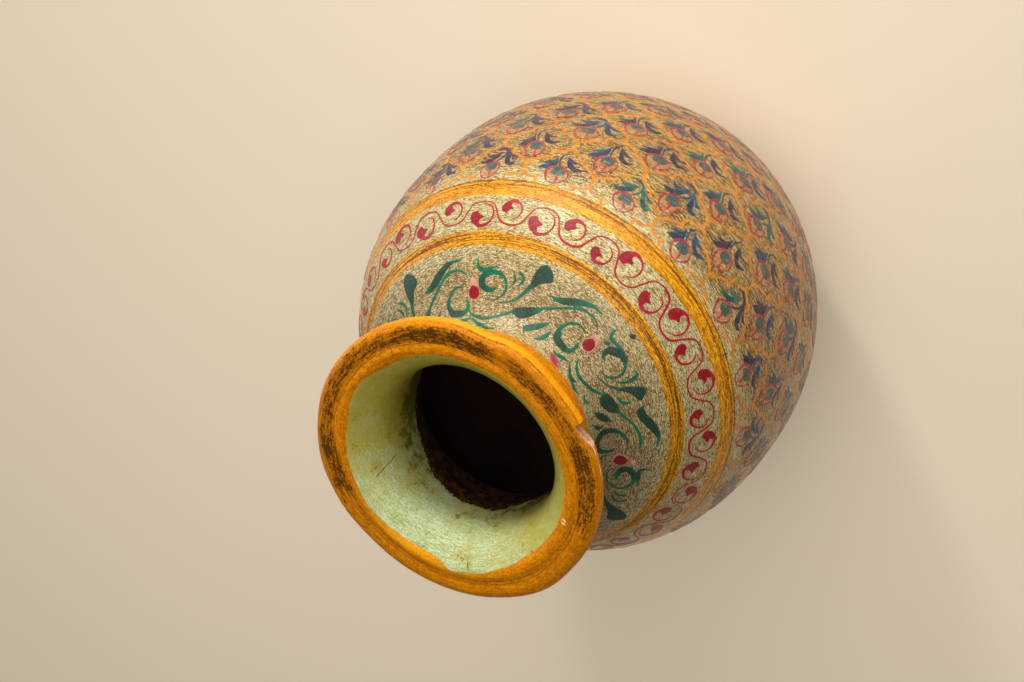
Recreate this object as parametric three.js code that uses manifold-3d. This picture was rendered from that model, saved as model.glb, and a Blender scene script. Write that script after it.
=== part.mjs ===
// A painted earthenware pot, standing on its flat base with its mouth up.
// The pot is thrown and beaten in five clay sections, which are luted together with slip before firing:
// a base disc, a lower bowl, a shoulder bowl, a neck collar and a flared mouth with a thick lip.
// Each seam is a flat ring face with a raised tongue that keys into a groove in the section above.
// Millimetres, +Z up, origin at the centre of the base on the ground.

import * as THREE from 'three';
import Module from 'manifold-3d';
import { mergeVertices } from 'three/addons/utils/BufferGeometryUtils.js';

// Body
const bellyRadius = 120;        // widest ring of the pot
const bellyHeight = 120;        // height of the widest ring above the ground
const baseRadius = 56.2;        // radius where the body meets the ground
const bowlPower = 1.84;         // fullness of the lower curve: 2 is an ellipse
const shoulderRise = 121.6;     // height at which the shoulder curve would close to a point
const shoulderPower = 2.72;     // fullness of the shoulder curve
const wall = 7.5;               // thickness of the body wall
const baseThickness = 9;        // thickness of the base disc
const baseEdgeRound = 2.5;      // worn round edge under the base

// Neck
const throatRadius = 44.2;      // bore of the neck at its waist
const neckWall = 6.8;           // thickness of the neck wall
const filletReach = 14;         // how far the neck's foot spreads on to the shoulder
const filletRise = 18;          // height over which that foot turns upright
const seamShare = 0.58;         // where along the foot's curve the collar is luted on
const collarLip = 1.8;          // how far the collar's foot flares inside
const seamLedge = 1.4;          // step between the collar's foot and the shoulder's opening
const collarHeight = 21.2;      // collar from its lower seam to its upper seam

// Mouth
const mouthRadius = 75.4;       // widest ring of the lip
const mouthRise = 33;           // upper collar seam to the top of the lip
const lipRadius = 4.8;          // rounding of the lip's outer edge
const lipWidth = 17.4;          // lip's painted face, from its edge to the flare
const lipGrooveDepth = 0.9;     // shallow ring pressed into the lip's face
const lipGrooveWidth = 3;       // width of the floor of that ring
const flareDepth = 13.5;        // lip's top down to the bend where the neck begins
const flareRun = 1.1;           // how far the bend stands out from the neck's bore
const bendHeight = 6.5;         // height over which the bend turns upright
const lipFall = 1;              // fall of the face from its crest to the flare

// Chip in the lip
const chipAngle = -118;         // direction of the chip, in degrees from +X
const chipLength = 13;          // length of the chip along the edge
const chipDepth = 3.6;          // deepest bite into the lip

// Luted seams
const tongueWidth = 2.4;
const tongueHeight = 3;
const seamClearance = 0.3;      // slip space round each tongue

// Smoothness
const segments = 60;            // facets round every ring
const bowlSteps = 7;            // rings up the lower bowl
const shoulderSteps = 8;        // rings up the shoulder
const curveSteps = 5;           // steps along each long curve
const shortSteps = 3;           // steps along each short curve
const edgeSteps = 6;            // steps round the lip's outer edge
const tinyStep = 1e-4;          // too small to matter, for slopes and for shared corners
const degree = Math.PI / 180;

const point = (radius, height) => new THREE.Vector2(radius, height);

// The other side of a full quarter curve: share ** power + other ** power is 1.
const otherShare = (share, power) => (1 - share ** power) ** (1 / power);

// Depth at which the lower curve would close to a point, below the ground.
const bowlDrop = bellyHeight / otherShare(baseRadius / bellyRadius, bowlPower);

// Body radius at a height; inset gives the inner face of the wall.
function bodyRadius(height, inset = 0) {
  const above = height > bellyHeight;
  const reach = (above ? shoulderRise : bowlDrop) - inset;
  const share = Math.min(Math.abs(height - bellyHeight) / reach, 1);
  return (bellyRadius - inset) * otherShare(share, above ? shoulderPower : bowlPower);
}

// Height of the shoulder at a radius, on its outer or inner face.
function shoulderHeight(radius, inset = 0) {
  return bellyHeight + (shoulderRise - inset) * otherShare(radius / (bellyRadius - inset), shoulderPower);
}

// Points on the body between two heights, closer together where the curve is tighter.
function bodyPoints(from, to, steps, inset = 0) {
  const points = [];
  for (let step = 0; step <= steps; step += 1) {
    const share = step / steps;
    const eased = from === bellyHeight ? Math.sin(share * Math.PI / 2) : 1 - Math.cos(share * Math.PI / 2);
    const height = from + (to - from) * eased;
    points.push(point(bodyRadius(height, inset), height));
  }
  return points;
}

// A curve that leaves the shoulder along its slope and turns upright at the given radius.
function neckFoot(radius) {
  const startRadius = radius + filletReach;
  const nearbyRadius = startRadius - tinyStep;
  const start = point(startRadius, shoulderHeight(startRadius));
  const nearby = point(nearbyRadius, shoulderHeight(nearbyRadius));
  const along = nearby.sub(start).normalize();
  const end = point(radius, start.y + filletRise);
  const lead = start.clone().addScaledVector(along, filletReach / 2);
  return new THREE.CubicBezierCurve(start, lead, point(radius, start.y + filletRise / 2), end);
}

// The part of a curve between two of its shares, as points.
function stretch(curve, from, to, steps = curveSteps) {
  const points = [];
  for (let step = 0; step <= steps; step += 1) {
    points.push(curve.getPoint(from + (to - from) * step / steps));
  }
  return points;
}

// Raised ring on top of a section, listed from the outside in.
function tongue(inner, outer, height) {
  const middle = (inner + outer) / 2;
  const half = tongueWidth / 2;
  return [
    point(middle + half, height),
    point(middle + half, height + tongueHeight),
    point(middle - half, height + tongueHeight),
    point(middle - half, height),
  ];
}

// Groove under the next section, listed from the inside out, with room for slip.
function groove(inner, outer, height) {
  const middle = (inner + outer) / 2;
  const half = tongueWidth / 2 + seamClearance;
  const roof = height + tongueHeight + seamClearance;
  return [
    point(middle - half, height),
    point(middle - half, roof),
    point(middle + half, roof),
    point(middle + half, height),
  ];
}

// Turns an outline round the pot's axis. The outline runs up the outside and down the inside.
function turned(outline) {
  const closed = outline[0].x === 0 ? outline : [...outline, outline[0].clone()];
  const geometry = new THREE.LatheGeometry(closed, segments);
  geometry.rotateX(Math.PI / 2);
  return geometry;
}

// Seams, from the ground up
const baseSeam = baseThickness;
const neckRadius = throatRadius + neckWall;
const footOuter = neckFoot(neckRadius);
const neckSeamPoint = footOuter.getPoint(seamShare);
const neckSeam = neckSeamPoint.y;
const collarFootRadius = throatRadius + collarLip;
const openingRadius = collarFootRadius + seamLedge;
const waistSeam = neckSeam + collarHeight;
const mouthTop = waistSeam + mouthRise;

function baseDisc() {
  const inner = bodyRadius(baseSeam, wall);
  const outer = bodyRadius(baseSeam);
  const edge = new THREE.QuadraticBezierCurve(
    point(bodyRadius(0) - baseEdgeRound, 0),
    point(bodyRadius(0), 0),
    point(bodyRadius(baseEdgeRound), baseEdgeRound),
  );
  return turned([
    point(0, 0),
    ...stretch(edge, 0, 1, shortSteps),
    ...bodyPoints(baseEdgeRound, baseSeam, shortSteps).slice(1),
    ...tongue(inner, outer, baseSeam),
    point(0, baseSeam),
  ]);
}

function lowerBowl() {
  const inside = bodyPoints(bellyHeight, baseSeam, bowlSteps, wall);
  const outside = bodyPoints(bellyHeight, baseSeam, bowlSteps).reverse();
  return turned([
    ...groove(bodyRadius(baseSeam, wall), bodyRadius(baseSeam), baseSeam),
    ...outside,
    ...tongue(bellyRadius - wall, bellyRadius, bellyHeight),
    ...inside,
  ]);
}

function shoulderBowl() {
  const openingCurve = openingFoot();
  const outside = bodyPoints(bellyHeight, footOuter.v0.y, shoulderSteps);
  const inside = bodyPoints(bellyHeight, openingCurve.v0.y, shoulderSteps, wall).reverse();
  return turned([
    ...groove(bellyRadius - wall, bellyRadius, bellyHeight),
    ...outside,
    ...stretch(footOuter, 0, seamShare, shortSteps).slice(1),
    ...tongue(openingRadius, neckSeamPoint.x, neckSeam),
    ...stretch(openingCurve, 1, 0, shortSteps).slice(0, -1),
    ...inside,
  ]);
}

// Inner face of the shoulder where it rises to the collar's seam.
function openingFoot() {
  const start = point(openingRadius + filletReach, shoulderHeight(openingRadius + filletReach, wall));
  const end = point(openingRadius, neckSeam);
  const corner = point(openingRadius, (start.y + end.y) / 2);
  return new THREE.QuadraticBezierCurve(start, corner, end);
}

function neckCollar() {
  return turned([
    point(collarFootRadius, neckSeam),
    ...groove(openingRadius, neckSeamPoint.x, neckSeam),
    ...stretch(footOuter, seamShare, 1),
    point(neckRadius, waistSeam),
    ...tongue(throatRadius, neckRadius, waistSeam),
    point(throatRadius, waistSeam),
  ]);
}

// The lip's outline, from the neck's upper seam out round the edge, over the face and down the flare.
function flaredMouth() {
  const faceInner = mouthRadius - lipWidth;
  const edgeCentre = point(mouthRadius - lipRadius, mouthTop - lipRadius - lipFall / 2);
  const grooveFloor = mouthTop - lipGrooveDepth;
  const grooveInner = (edgeCentre.x + faceInner) / 2;
  const landMiddle = (grooveInner + faceInner) / 2;
  const bend = point(throatRadius + flareRun, mouthTop - flareDepth);
  const flareStart = point(faceInner, mouthTop - lipFall);
  const underside = new THREE.CubicBezierCurve(
    point(neckRadius, bend.y - bendHeight),
    point(neckRadius, edgeCentre.y - lipRadius),
    point(faceInner, edgeCentre.y - lipRadius),
    point(edgeCentre.x, edgeCentre.y - lipRadius),
  );
  const outerLand = new THREE.QuadraticBezierCurve(
    point(edgeCentre.x, edgeCentre.y + lipRadius),
    point(grooveInner + lipGrooveWidth, edgeCentre.y + lipRadius),
    point(grooveInner + lipGrooveWidth, grooveFloor),
  );
  const innerLand = new THREE.CubicBezierCurve(
    point(grooveInner, grooveFloor),
    point(landMiddle, mouthTop),
    point(landMiddle, mouthTop),
    flareStart,
  );
  const flare = new THREE.QuadraticBezierCurve(
    flareStart,
    point((faceInner + bend.x) / 2, (flareStart.y + bend.y) / 2 + lipFall),
    bend,
  );
  const turnDown = new THREE.QuadraticBezierCurve(
    bend,
    point(throatRadius, bend.y - flareRun),
    point(throatRadius, bend.y - bendHeight),
  );
  return turned([
    ...groove(throatRadius, neckRadius, waistSeam),
    point(neckRadius, waistSeam),
    ...stretch(underside, 0, 1),
    ...roundEdge(edgeCentre),
    ...stretch(outerLand, 0, 1, shortSteps),
    ...stretch(innerLand, 0, 1),
    ...stretch(flare, 0, 1, shortSteps).slice(1),
    ...stretch(turnDown, 0, 1, shortSteps).slice(1),
    point(throatRadius, waistSeam),
  ]);
}

// Half circle round the lip's outer edge, between its underside and its face.
function roundEdge(centre) {
  const points = [];
  for (let step = 1; step < edgeSteps; step += 1) {
    const angle = (step / edgeSteps - 1 / 2) * Math.PI;
    points.push(point(centre.x + lipRadius * Math.cos(angle), centre.y + lipRadius * Math.sin(angle)));
  }
  return points;
}

// A wedge that bites into the lip's edge: deep and sharp at one end, running out at the other.
function chipCutter() {
  const outside = mouthRadius + chipDepth;
  const shape = new THREE.Shape([
    point(outside, -chipLength / 2),
    point(outside, chipLength / 2),
    point(mouthRadius - chipDepth, chipLength / 2),
    point(mouthRadius, -chipLength / 2),
  ]);
  const height = 2 * (lipRadius + chipDepth);
  const geometry = new THREE.ExtrudeGeometry(shape, { depth: height, bevelEnabled: false });
  geometry.translate(0, 0, mouthTop + chipDepth - height);
  geometry.rotateZ(chipAngle * degree);
  return geometry;
}

const wasm = await Module();
wasm.setup();

function toSolid(geometry) {
  const bare = geometry.clone();
  bare.deleteAttribute('normal');
  bare.deleteAttribute('uv');
  const merged = mergeVertices(bare, tinyStep);
  return new wasm.Manifold(new wasm.Mesh({
    numProp: 3,
    vertProperties: new Float32Array(merged.attributes.position.array),
    triVerts: new Uint32Array(merged.index.array),
  }));
}

function cut(geometry, cutter) {
  const mesh = toSolid(geometry).subtract(toSolid(cutter)).getMesh();
  const result = new THREE.BufferGeometry();
  result.setAttribute('position', new THREE.BufferAttribute(new Float32Array(mesh.vertProperties), 3));
  result.setIndex(new THREE.BufferAttribute(new Uint32Array(mesh.triVerts), 1));
  result.computeVertexNormals();
  return result;
}

const paintedClay = new THREE.MeshStandardMaterial({ color: 0xa88f4e, roughness: 0.4, metalness: 0.15 });
const orangePaint = new THREE.MeshStandardMaterial({ color: 0xd98a0c, roughness: 0.45, metalness: 0 });
const bareClay = new THREE.MeshStandardMaterial({ color: 0x9a5b3c, roughness: 0.9, metalness: 0 });

const pot = new THREE.Group();

function add(name, geometry, material) {
  const mesh = new THREE.Mesh(geometry, material);
  mesh.name = name;
  pot.add(mesh);
}

add('base_disc', baseDisc(), bareClay);
add('lower_bowl', lowerBowl(), paintedClay);
add('shoulder_bowl', shoulderBowl(), paintedClay);
add('neck_collar', neckCollar(), orangePaint);
add('flared_mouth', cut(flaredMouth(), chipCutter()), orangePaint);

export default pot;
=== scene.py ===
"""A painted earthenware pot, dressed over its CAD sections.

Lengths are millimetres until a mesh is made, which gets metres. A place on the pot is a pair: its direction
in degrees from +X, and its distance along the turned profile, counted from the foot of the neck.
That distance grows down the outside, and is negative up the neck, over the lip and into the throat.
"""
import math
import random

import bpy
import numpy as np
from mathutils import Matrix, Vector


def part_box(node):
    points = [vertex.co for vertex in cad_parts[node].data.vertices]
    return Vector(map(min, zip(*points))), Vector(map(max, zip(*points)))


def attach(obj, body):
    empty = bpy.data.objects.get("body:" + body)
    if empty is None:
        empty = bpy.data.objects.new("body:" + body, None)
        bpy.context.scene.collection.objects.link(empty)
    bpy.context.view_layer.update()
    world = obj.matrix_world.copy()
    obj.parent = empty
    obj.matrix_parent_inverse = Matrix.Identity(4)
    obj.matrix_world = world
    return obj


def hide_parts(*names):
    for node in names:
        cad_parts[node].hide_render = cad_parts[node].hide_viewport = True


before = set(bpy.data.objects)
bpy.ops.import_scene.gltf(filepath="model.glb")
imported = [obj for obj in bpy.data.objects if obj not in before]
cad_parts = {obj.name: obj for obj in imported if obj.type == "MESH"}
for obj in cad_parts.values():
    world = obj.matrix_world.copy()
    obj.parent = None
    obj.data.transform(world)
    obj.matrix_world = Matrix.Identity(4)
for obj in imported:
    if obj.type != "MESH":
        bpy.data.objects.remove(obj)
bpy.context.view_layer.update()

MM = 0.001
hand = random.Random(31)

# Heights and radii that the frame gives
BELLY_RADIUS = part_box("lower_bowl")[1][0] / MM
BELLY_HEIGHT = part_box("shoulder_bowl")[0][2] / MM
BASE_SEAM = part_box("lower_bowl")[0][2] / MM
NECK_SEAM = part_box("neck_collar")[0][2] / MM
WAIST_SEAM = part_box("flared_mouth")[0][2] / MM
MOUTH_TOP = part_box("flared_mouth")[1][2] / MM
MOUTH_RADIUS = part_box("flared_mouth")[1][0] / MM

# Shape of the body, as in the part's source
BASE_RADIUS = 56.2
BOWL_POWER = 1.84
SHOULDER_RISE = 121.6
SHOULDER_POWER = 2.72
WALL = 7.5
BASE_EDGE_ROUND = 2.5

# Shape of the neck and the mouth, as in the part's source
THROAT_RADIUS = 44.2
NECK_RADIUS = THROAT_RADIUS + 6.8
COLLAR_FOOT_RADIUS = THROAT_RADIUS + 1.8
OPENING_RADIUS = COLLAR_FOOT_RADIUS + 1.4
FILLET_REACH = 14
FILLET_RISE = 18
LIP_RADIUS = 4.8
LIP_WIDTH = 17.4
LIP_GROOVE_DEPTH = 0.9
LIP_GROOVE_WIDTH = 3
LIP_FALL = 1
FLARE_DEPTH = 13.5
BEND_HEIGHT = 6.5
FLARE_START = 27                # depth under the lip at which the flare starts, as one soft curve
FLARE_LEAD = 11.5               # depth of its guide point

# Fineness of the skins
SKIN_STEP = 1.6                 # rows along the body
LIP_STEP = 0.7                  # rows over the lip
TURNS = 360                     # columns round the pot
SEAM_ROW = 0.05                 # a narrow row beside each seam keeps its shading even
CURVE_POINTS = 240
BOWL_ROWS = 28                  # rows up the hidden inside of each bowl
OPENING_ROWS = 12               # rows up the hidden opening of the shoulder
SLOPE_STEP = 0.01               # a step that is short enough to give the shoulder's slope

# Painted zones along the outside, where the bands don't tilt
NECK_PAINT_END = 1.4
UPPER_BAND = (43.4, 50.8)
LOWER_BAND = (70.4, 80.2)
FOOT_BAND = (262, 272)
DRY_LINES = ((76.6, 77.7, 0.3), (79.2, 80.4, 0.3))  # start, end and softness where a brush ran dry
DRY_PATCH = (45.4, 49.8, 0.8)
BASE_CLAY_START = 293
BAND_TILT = 3.6                 # how far the bands drop away from the side where they are highest
BAND_TILT_TOP = -100            # the direction of that side
TILT_GROWS = (22, 44)           # stretch over which the tilt sets in
TILT_FADES = (88, 125)          # stretch over which it ends
GREEN_FADE = (4, 12)            # distance from the lip's face over which the green edge's waves die out

# Unevenness of hand work: its share of the radius, and the radii over which it and the lip's outline set in
WOBBLE = 0.0009
WOBBLE_PEAK = 2
WOBBLE_RADII = (46, 70)
OUTLINE_RADII = (56, 71)

# Chip in the lip
CHIP_START = -113
CHIP_SWEEP = 10.5
CHIP_DEPTH = 2.3
CHIP_UNDERCUT = 0.52            # how far the broken face leans in on its way down
CHIP_EASE = 1.5                 # how slowly it runs out along the edge
CHIP_RIPPLE = 0.06              # unevenness of the break
CHIP_RIPPLES = 5                # how closely its ripples follow each other

# Fineness of the chip, the caps of the base, and where a fold counts as sharp
FINE_TURN = 0.34
CAP_RADIUS = 2
SHARP_ANGLE = math.radians(48)

# The maps hold distances divided by these
PLACE_UNIT = 100
STROKE_UNIT = 10

# Paint and varnish
GILT = 0.2                      # how much of the ground's paint is metal powder
PAINT_RELIEF = 0.3
VARNISH_RELIEF = 0.16
VARNISH_ROUGHNESS = 0.12
VARNISH_IOR = 1.27
VARNISH_WEIGHT = 0.85
UNDER_VARNISH = 0.1             # how much the paint itself still shines under the varnish
RING_RADIUS = 90                # the radius at which a brushed streak has its stated length

# Painted strokes: the paint's thickness over the skin, its depth under it, and the step along a stroke
PAINT_CROWN = 0.12
PAINT_EDGE = 0.03
PAINT_ROOT = 0.25
COAT_STEP = 0.06                # a later coat lies this much over an earlier one
STROKE_STEP = 0.9
TINY = 1e-9                     # keeps a length from being zero
STROKE_COLUMN = 2.2             # a stroke gets one more pair of columns for each of these widths
MOST_COLUMNS = 4                # most pairs of columns
LINE_SAMPLES = 12               # samples between two hand-placed points
HAIR_SHIFT = 900                # how far the brush hairs of two strokes may lie apart in their noise

# The scrolling motif round the neck, in two hand-painted versions.
# Strokes are lines with their widths in mm, and leaves lie between two edges.
ARABESQUE_COUNT = 6
TWIN_REPEATS = (3, 5)
SCROLL_SWAY = 0.12
BERRY_SWAY = 0.1
BERRY_HALO = ([(-98.4, 18), (-100.7, 19.8), (-100.5, 24), (-99, 27.4), (-97.6, 29.6)],
              [(-97.4, 18), (-94.6, 19.6), (-94.5, 23.6), (-95.9, 27.2), (-97.4, 29.6)])
BERRY = ([(-98.8, 18.8), (-100.2, 20.6), (-100, 23.4), (-98.4, 25.2)],
         [(-97, 18.8), (-95.1, 20.2), (-95.2, 23.2), (-96.8, 25.6)])
BLUSH_PETAL = ([(-96.4, 2.2), (-94.8, 4.6), (-91.5, 6), (-88, 5.9), (-85.6, 4.6)],
               [(-96, 1.8), (-93, 1.4), (-90, 2.2), (-87.6, 2.8), (-85.4, 4.2)])
SHARED_STROKES = (
    ([(-102.6, 30.6), (-101.6, 29.2), (-100.2, 28.8)], (1.6, 2.2, 0.8)),
    ([(-108.6, 34.4), (-104.6, 32.8), (-101.6, 32.2), (-100.3, 33.3), (-99.8, 35.8), (-100.1, 38)],
     (0.4, 1.3, 2.1, 2.2, 1.4, 0.3)),
    ([(-97.2, 8.9), (-93.4, 7.9), (-89.5, 7.2), (-87.4, 7.4)], (0.7, 1.9, 1.9, 0.8)),
    ([(-108.2, 5.6), (-104.8, 4.2), (-101.8, 5.8), (-99.5, 7.6), (-97.6, 9)], (0.6, 2.6, 2, 1.4, 0.6)),
    ([(-54, 3), (-50, 2.4), (-46, 3.6), (-41.4, 6.2)], (1, 1.9, 1.4, 0.4)),
)
FIRST_STROKES = (
    ([(-93.4, 19), (-94.5, 17), (-94.2, 14), (-92, 12.2), (-88.5, 12.2), (-85.2, 13.4), (-83.4, 16),
      (-83, 18.5), (-84.2, 21.5), (-86.5, 24.3), (-89, 25.5), (-92.8, 25.2)],
     (1, 2, 2.6, 3.3, 3.7, 3.6, 2.8, 2.2, 1.7, 1.2, 0.9, 0.5)),
    ([(-95, 30.5), (-92.5, 32.3), (-89.5, 32.9), (-86, 32.3), (-83, 30.3), (-79.5, 27.5), (-76, 24.8),
      (-72, 22)], (0.6, 1.1, 1.4, 1.4, 1.3, 1.2, 1.3, 1.5)),
    ([(-57.5, 14), (-55, 12.3), (-51, 10.2), (-46.5, 8.7), (-43, 8.8), (-39.5, 9.9), (-36.5, 11.6),
      (-34.6, 15)], (1.6, 1.5, 1.7, 1.9, 1.9, 1.6, 1.2, 0.5)),
    ([(-50, 17.6), (-55, 18.9), (-58.5, 21.2), (-61.3, 25), (-63.3, 29)], (0.5, 0.8, 1.1, 1.7, 2.6)),
    ([(-57.5, 27), (-59.5, 29.5), (-59.3, 32), (-57, 34)], (0.7, 1.4, 1.5, 1)),
    ([(-55.6, 26.8), (-56.3, 29.5), (-55, 33)], (0.8, 1.5, 0.7)),
    ([(-43.5, 18.6), (-48, 18.7), (-51, 20.4), (-52.6, 23.5), (-53, 26.6), (-51.3, 30), (-48.3, 31.5),
      (-45, 31.2), (-42.4, 29.3), (-41.6, 26.6), (-42.7, 24.4), (-45.4, 23.4), (-49, 24.2)],
     (0.5, 0.8, 1, 1.1, 1.2, 1.4, 1.9, 2.6, 3.3, 3.6, 3.2, 2.2, 0.6)),
)
FIRST_LEAVES = (
    ([(-72.6, 22.4), (-70.3, 18), (-66.5, 14.2), (-63, 12.7), (-60, 13.6), (-57, 13.9)],
     [(-72, 22.6), (-69, 21), (-64, 19), (-60.3, 17.2), (-58.4, 15.8), (-56.9, 14.2)]),
    ([(-80.4, 14.5), (-80.9, 11), (-79, 7.6), (-75.4, 6.2)],
     [(-80, 14.6), (-78.6, 11.8), (-77.1, 9), (-75.2, 6.4)]),
    ([(-78.2, 18), (-75.7, 13), (-71.4, 8.9), (-68.8, 7.3)],
     [(-77.8, 18), (-73, 14.4), (-69.3, 11.6), (-66.6, 10)]),
    ([(-92.4, 36.4), (-88.5, 35.8), (-84.5, 32.9), (-80, 29.2), (-75.5, 27.8), (-72, 28.9)],
     [(-92.2, 37.4), (-88, 37.6), (-83.8, 36), (-79, 32.8), (-75.5, 30.4), (-71.8, 29.1)]),
    ([(-64.2, 28), (-67, 32), (-70.6, 34.8), (-69.6, 38.6), (-67.4, 41)],
     [(-62.6, 28), (-62.9, 33), (-63.4, 36.5), (-64.6, 40), (-66.6, 41.2)]),
)
TWIN_STROKES = (
    ([(-91.6, 17.5), (-92.8, 15), (-92.3, 11), (-90, 8.3), (-87, 7.4), (-84.2, 8), (-81.6, 10), (-80.6, 13),
      (-81.2, 17), (-82.7, 20), (-86.4, 23.4), (-89.4, 23.7)],
     (1, 1.8, 2.5, 3.2, 3.6, 3.4, 3, 2.7, 2.4, 2, 1.3, 0.5)),
    ([(-90.8, 29.3), (-87.4, 30), (-84, 29.3), (-79, 26.5), (-73.2, 20.8)], (0.7, 1.4, 1.5, 1.5, 1.7)),
    ([(-60.4, 14.6), (-57, 11.6), (-53.6, 10), (-47.3, 8.6), (-42.7, 10), (-39.4, 13.4)],
     (1.4, 1.6, 1.7, 1.9, 1.6, 0.5)),
    ([(-50.6, 16.2), (-55, 17.4), (-58.6, 19.6), (-61, 23)], (0.5, 0.9, 1.2, 1.8)),
    ([(-68.8, 27.2), (-68.2, 23.6), (-66.6, 21.8), (-64.4, 21.2)], (0.6, 1.7, 1.4, 0.5)),
    ([(-58.4, 24.2), (-59.6, 27.4), (-59.4, 31.4), (-58, 34.4), (-56.2, 33)], (0.6, 1.8, 2.3, 1.8, 0.5)),
    ([(-50, 18.7), (-54.1, 20.6), (-56, 24.6), (-55.4, 28.4), (-52.8, 31), (-49.6, 32), (-46.2, 30.2),
      (-44.4, 27), (-45.2, 24.2), (-47.4, 23.4)], (0.6, 1, 1.2, 1.4, 1.7, 2.8, 4, 4.2, 2.8, 0.8)),
    ([(-62, 6.6), (-58.6, 4.9), (-56, 6.3)], (0.5, 1.8, 0.6)),
    ([(-76.4, 12.2), (-77.3, 8.8), (-73.6, 5)], (0.6, 2.4, 0.6)),
)
TWIN_LEAVES = (
    ([(-73.2, 20.6), (-70.7, 15.6), (-66, 12.4), (-62.4, 13), (-60, 15.2)],
     [(-73, 21.2), (-67.6, 20.2), (-62.6, 18.2), (-59.9, 15.8)]),
    ([(-76.4, 16.3), (-74.7, 11.6), (-71.2, 8.6), (-67.7, 7.8)],
     [(-76, 16.4), (-72, 14), (-69.2, 11), (-67.5, 8.3)]),
    ([(-89, 37.1), (-84.6, 36.7), (-80.6, 32.8), (-76.6, 29.4), (-72.6, 28.8), (-70.6, 32.6)],
     [(-89, 37.9), (-84, 38.9), (-78.6, 36.4), (-74.9, 33.2), (-72.4, 32.4), (-70.7, 33.2)]),
    ([(-61.8, 22), (-64.4, 27.4), (-68.8, 31.4), (-66.4, 34.6), (-64.8, 36.4)],
     [(-60.6, 22.2), (-61.4, 27), (-62.4, 31.4), (-64.2, 36.2)]),
)

# The vine between the bands
VINE_COUNT = 18
VINE_START = -99.5
VINE_LEVEL = 61
VINE_SWING = 6.6
VINE_ROUNDNESS = 0.85           # under 1, the bends are fuller than a sine's
VINE_LEAN = 0.8
VINE_STEPS = 8                  # steps along each wave
VINE_PART = 24                  # steps that one stroke paints
VINE_WIDTH_STEP = 3             # steps from one width of the stroke to the next
VINE_CURL_MIDDLE = 60
VINE_CURL = ([(-0.5, 64), (-2.7, 61.7), (-3.3, 57.5), (-2.1, 53.8), (0.2, 52.5), (1.6, 53.4)],
             (0.45, 0.8, 0.95, 1.15, 1.6, 2.1))
VINE_DROP = ([(0.4, 52.8), (0.8, 55.4), (-0.5, 57.3), (1, 58.5), (1.7, 60.3)],
             [(0.6, 52), (2.8, 53.6), (3.9, 56.8), (3.5, 59.5), (1.9, 60.4)])

# The belly's field: rings of blossoms and the net round them
BLOSSOM_COUNT = 19
BLOSSOM_START = -95
BLOSSOM_LEVELS = (87.5, 104.5, 126, 144, 160.5, 176.5, 191, 205.5, 219.5, 233, 245.5)
FULL_RING_STEP = 20             # a ring this far above the next one has blossoms at their full size
BLOSSOM_SWAY = 0.14
# A bud, in degrees and mm from its middle: two outlines and a vein with their widths, and two patches
BUD_OUTLINES = (
    ([(0.2, -7), (-1.6, -5.2), (-2.9, -0.6), (-2.5, 3.4), (-0.9, 6.3), (0.3, 7.2)],
     (0.6, 0.8, 0.9, 1, 1.3, 1.5)),
    ([(-0.1, -7), (1.7, -5.3), (3, 0.2), (2.7, 3.6), (1.2, 6.2), (0, 7.2)], (0.6, 0.9, 1.2, 1.5, 1.6, 1.4)),
    ([(-0.4, -5.9), (-0.6, -3), (-0.2, -0.6), (0.6, 0.4)], (0.6, 1.2, 1.4, 0.6)),
)
BUD_FILL = ([(0, -6.4), (-2.2, -1), (-1.8, 3.5), (0, 6.6)], [(0.1, -6.4), (2.3, -1), (2, 3.5), (0.1, 6.6)])
BUD_HEART = ([(-1, -0.6), (-1.7, 1), (-1.7, 4.6), (-0.7, 6.6)],
             [(0.9, -0.6), (1.8, 0.9), (1.7, 4.6), (0.7, 6.6)])
LEAF_FULLNESS = 1.22
LEAF_WEIGHTS = (4, 1, 2)        # how often each of the three ways of painting leaves is used
COLOUR_WEIGHTS = ((7, 2, 1), (4, 5, 2))     # how often the left and the right leaf are navy, blue and teal
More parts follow.
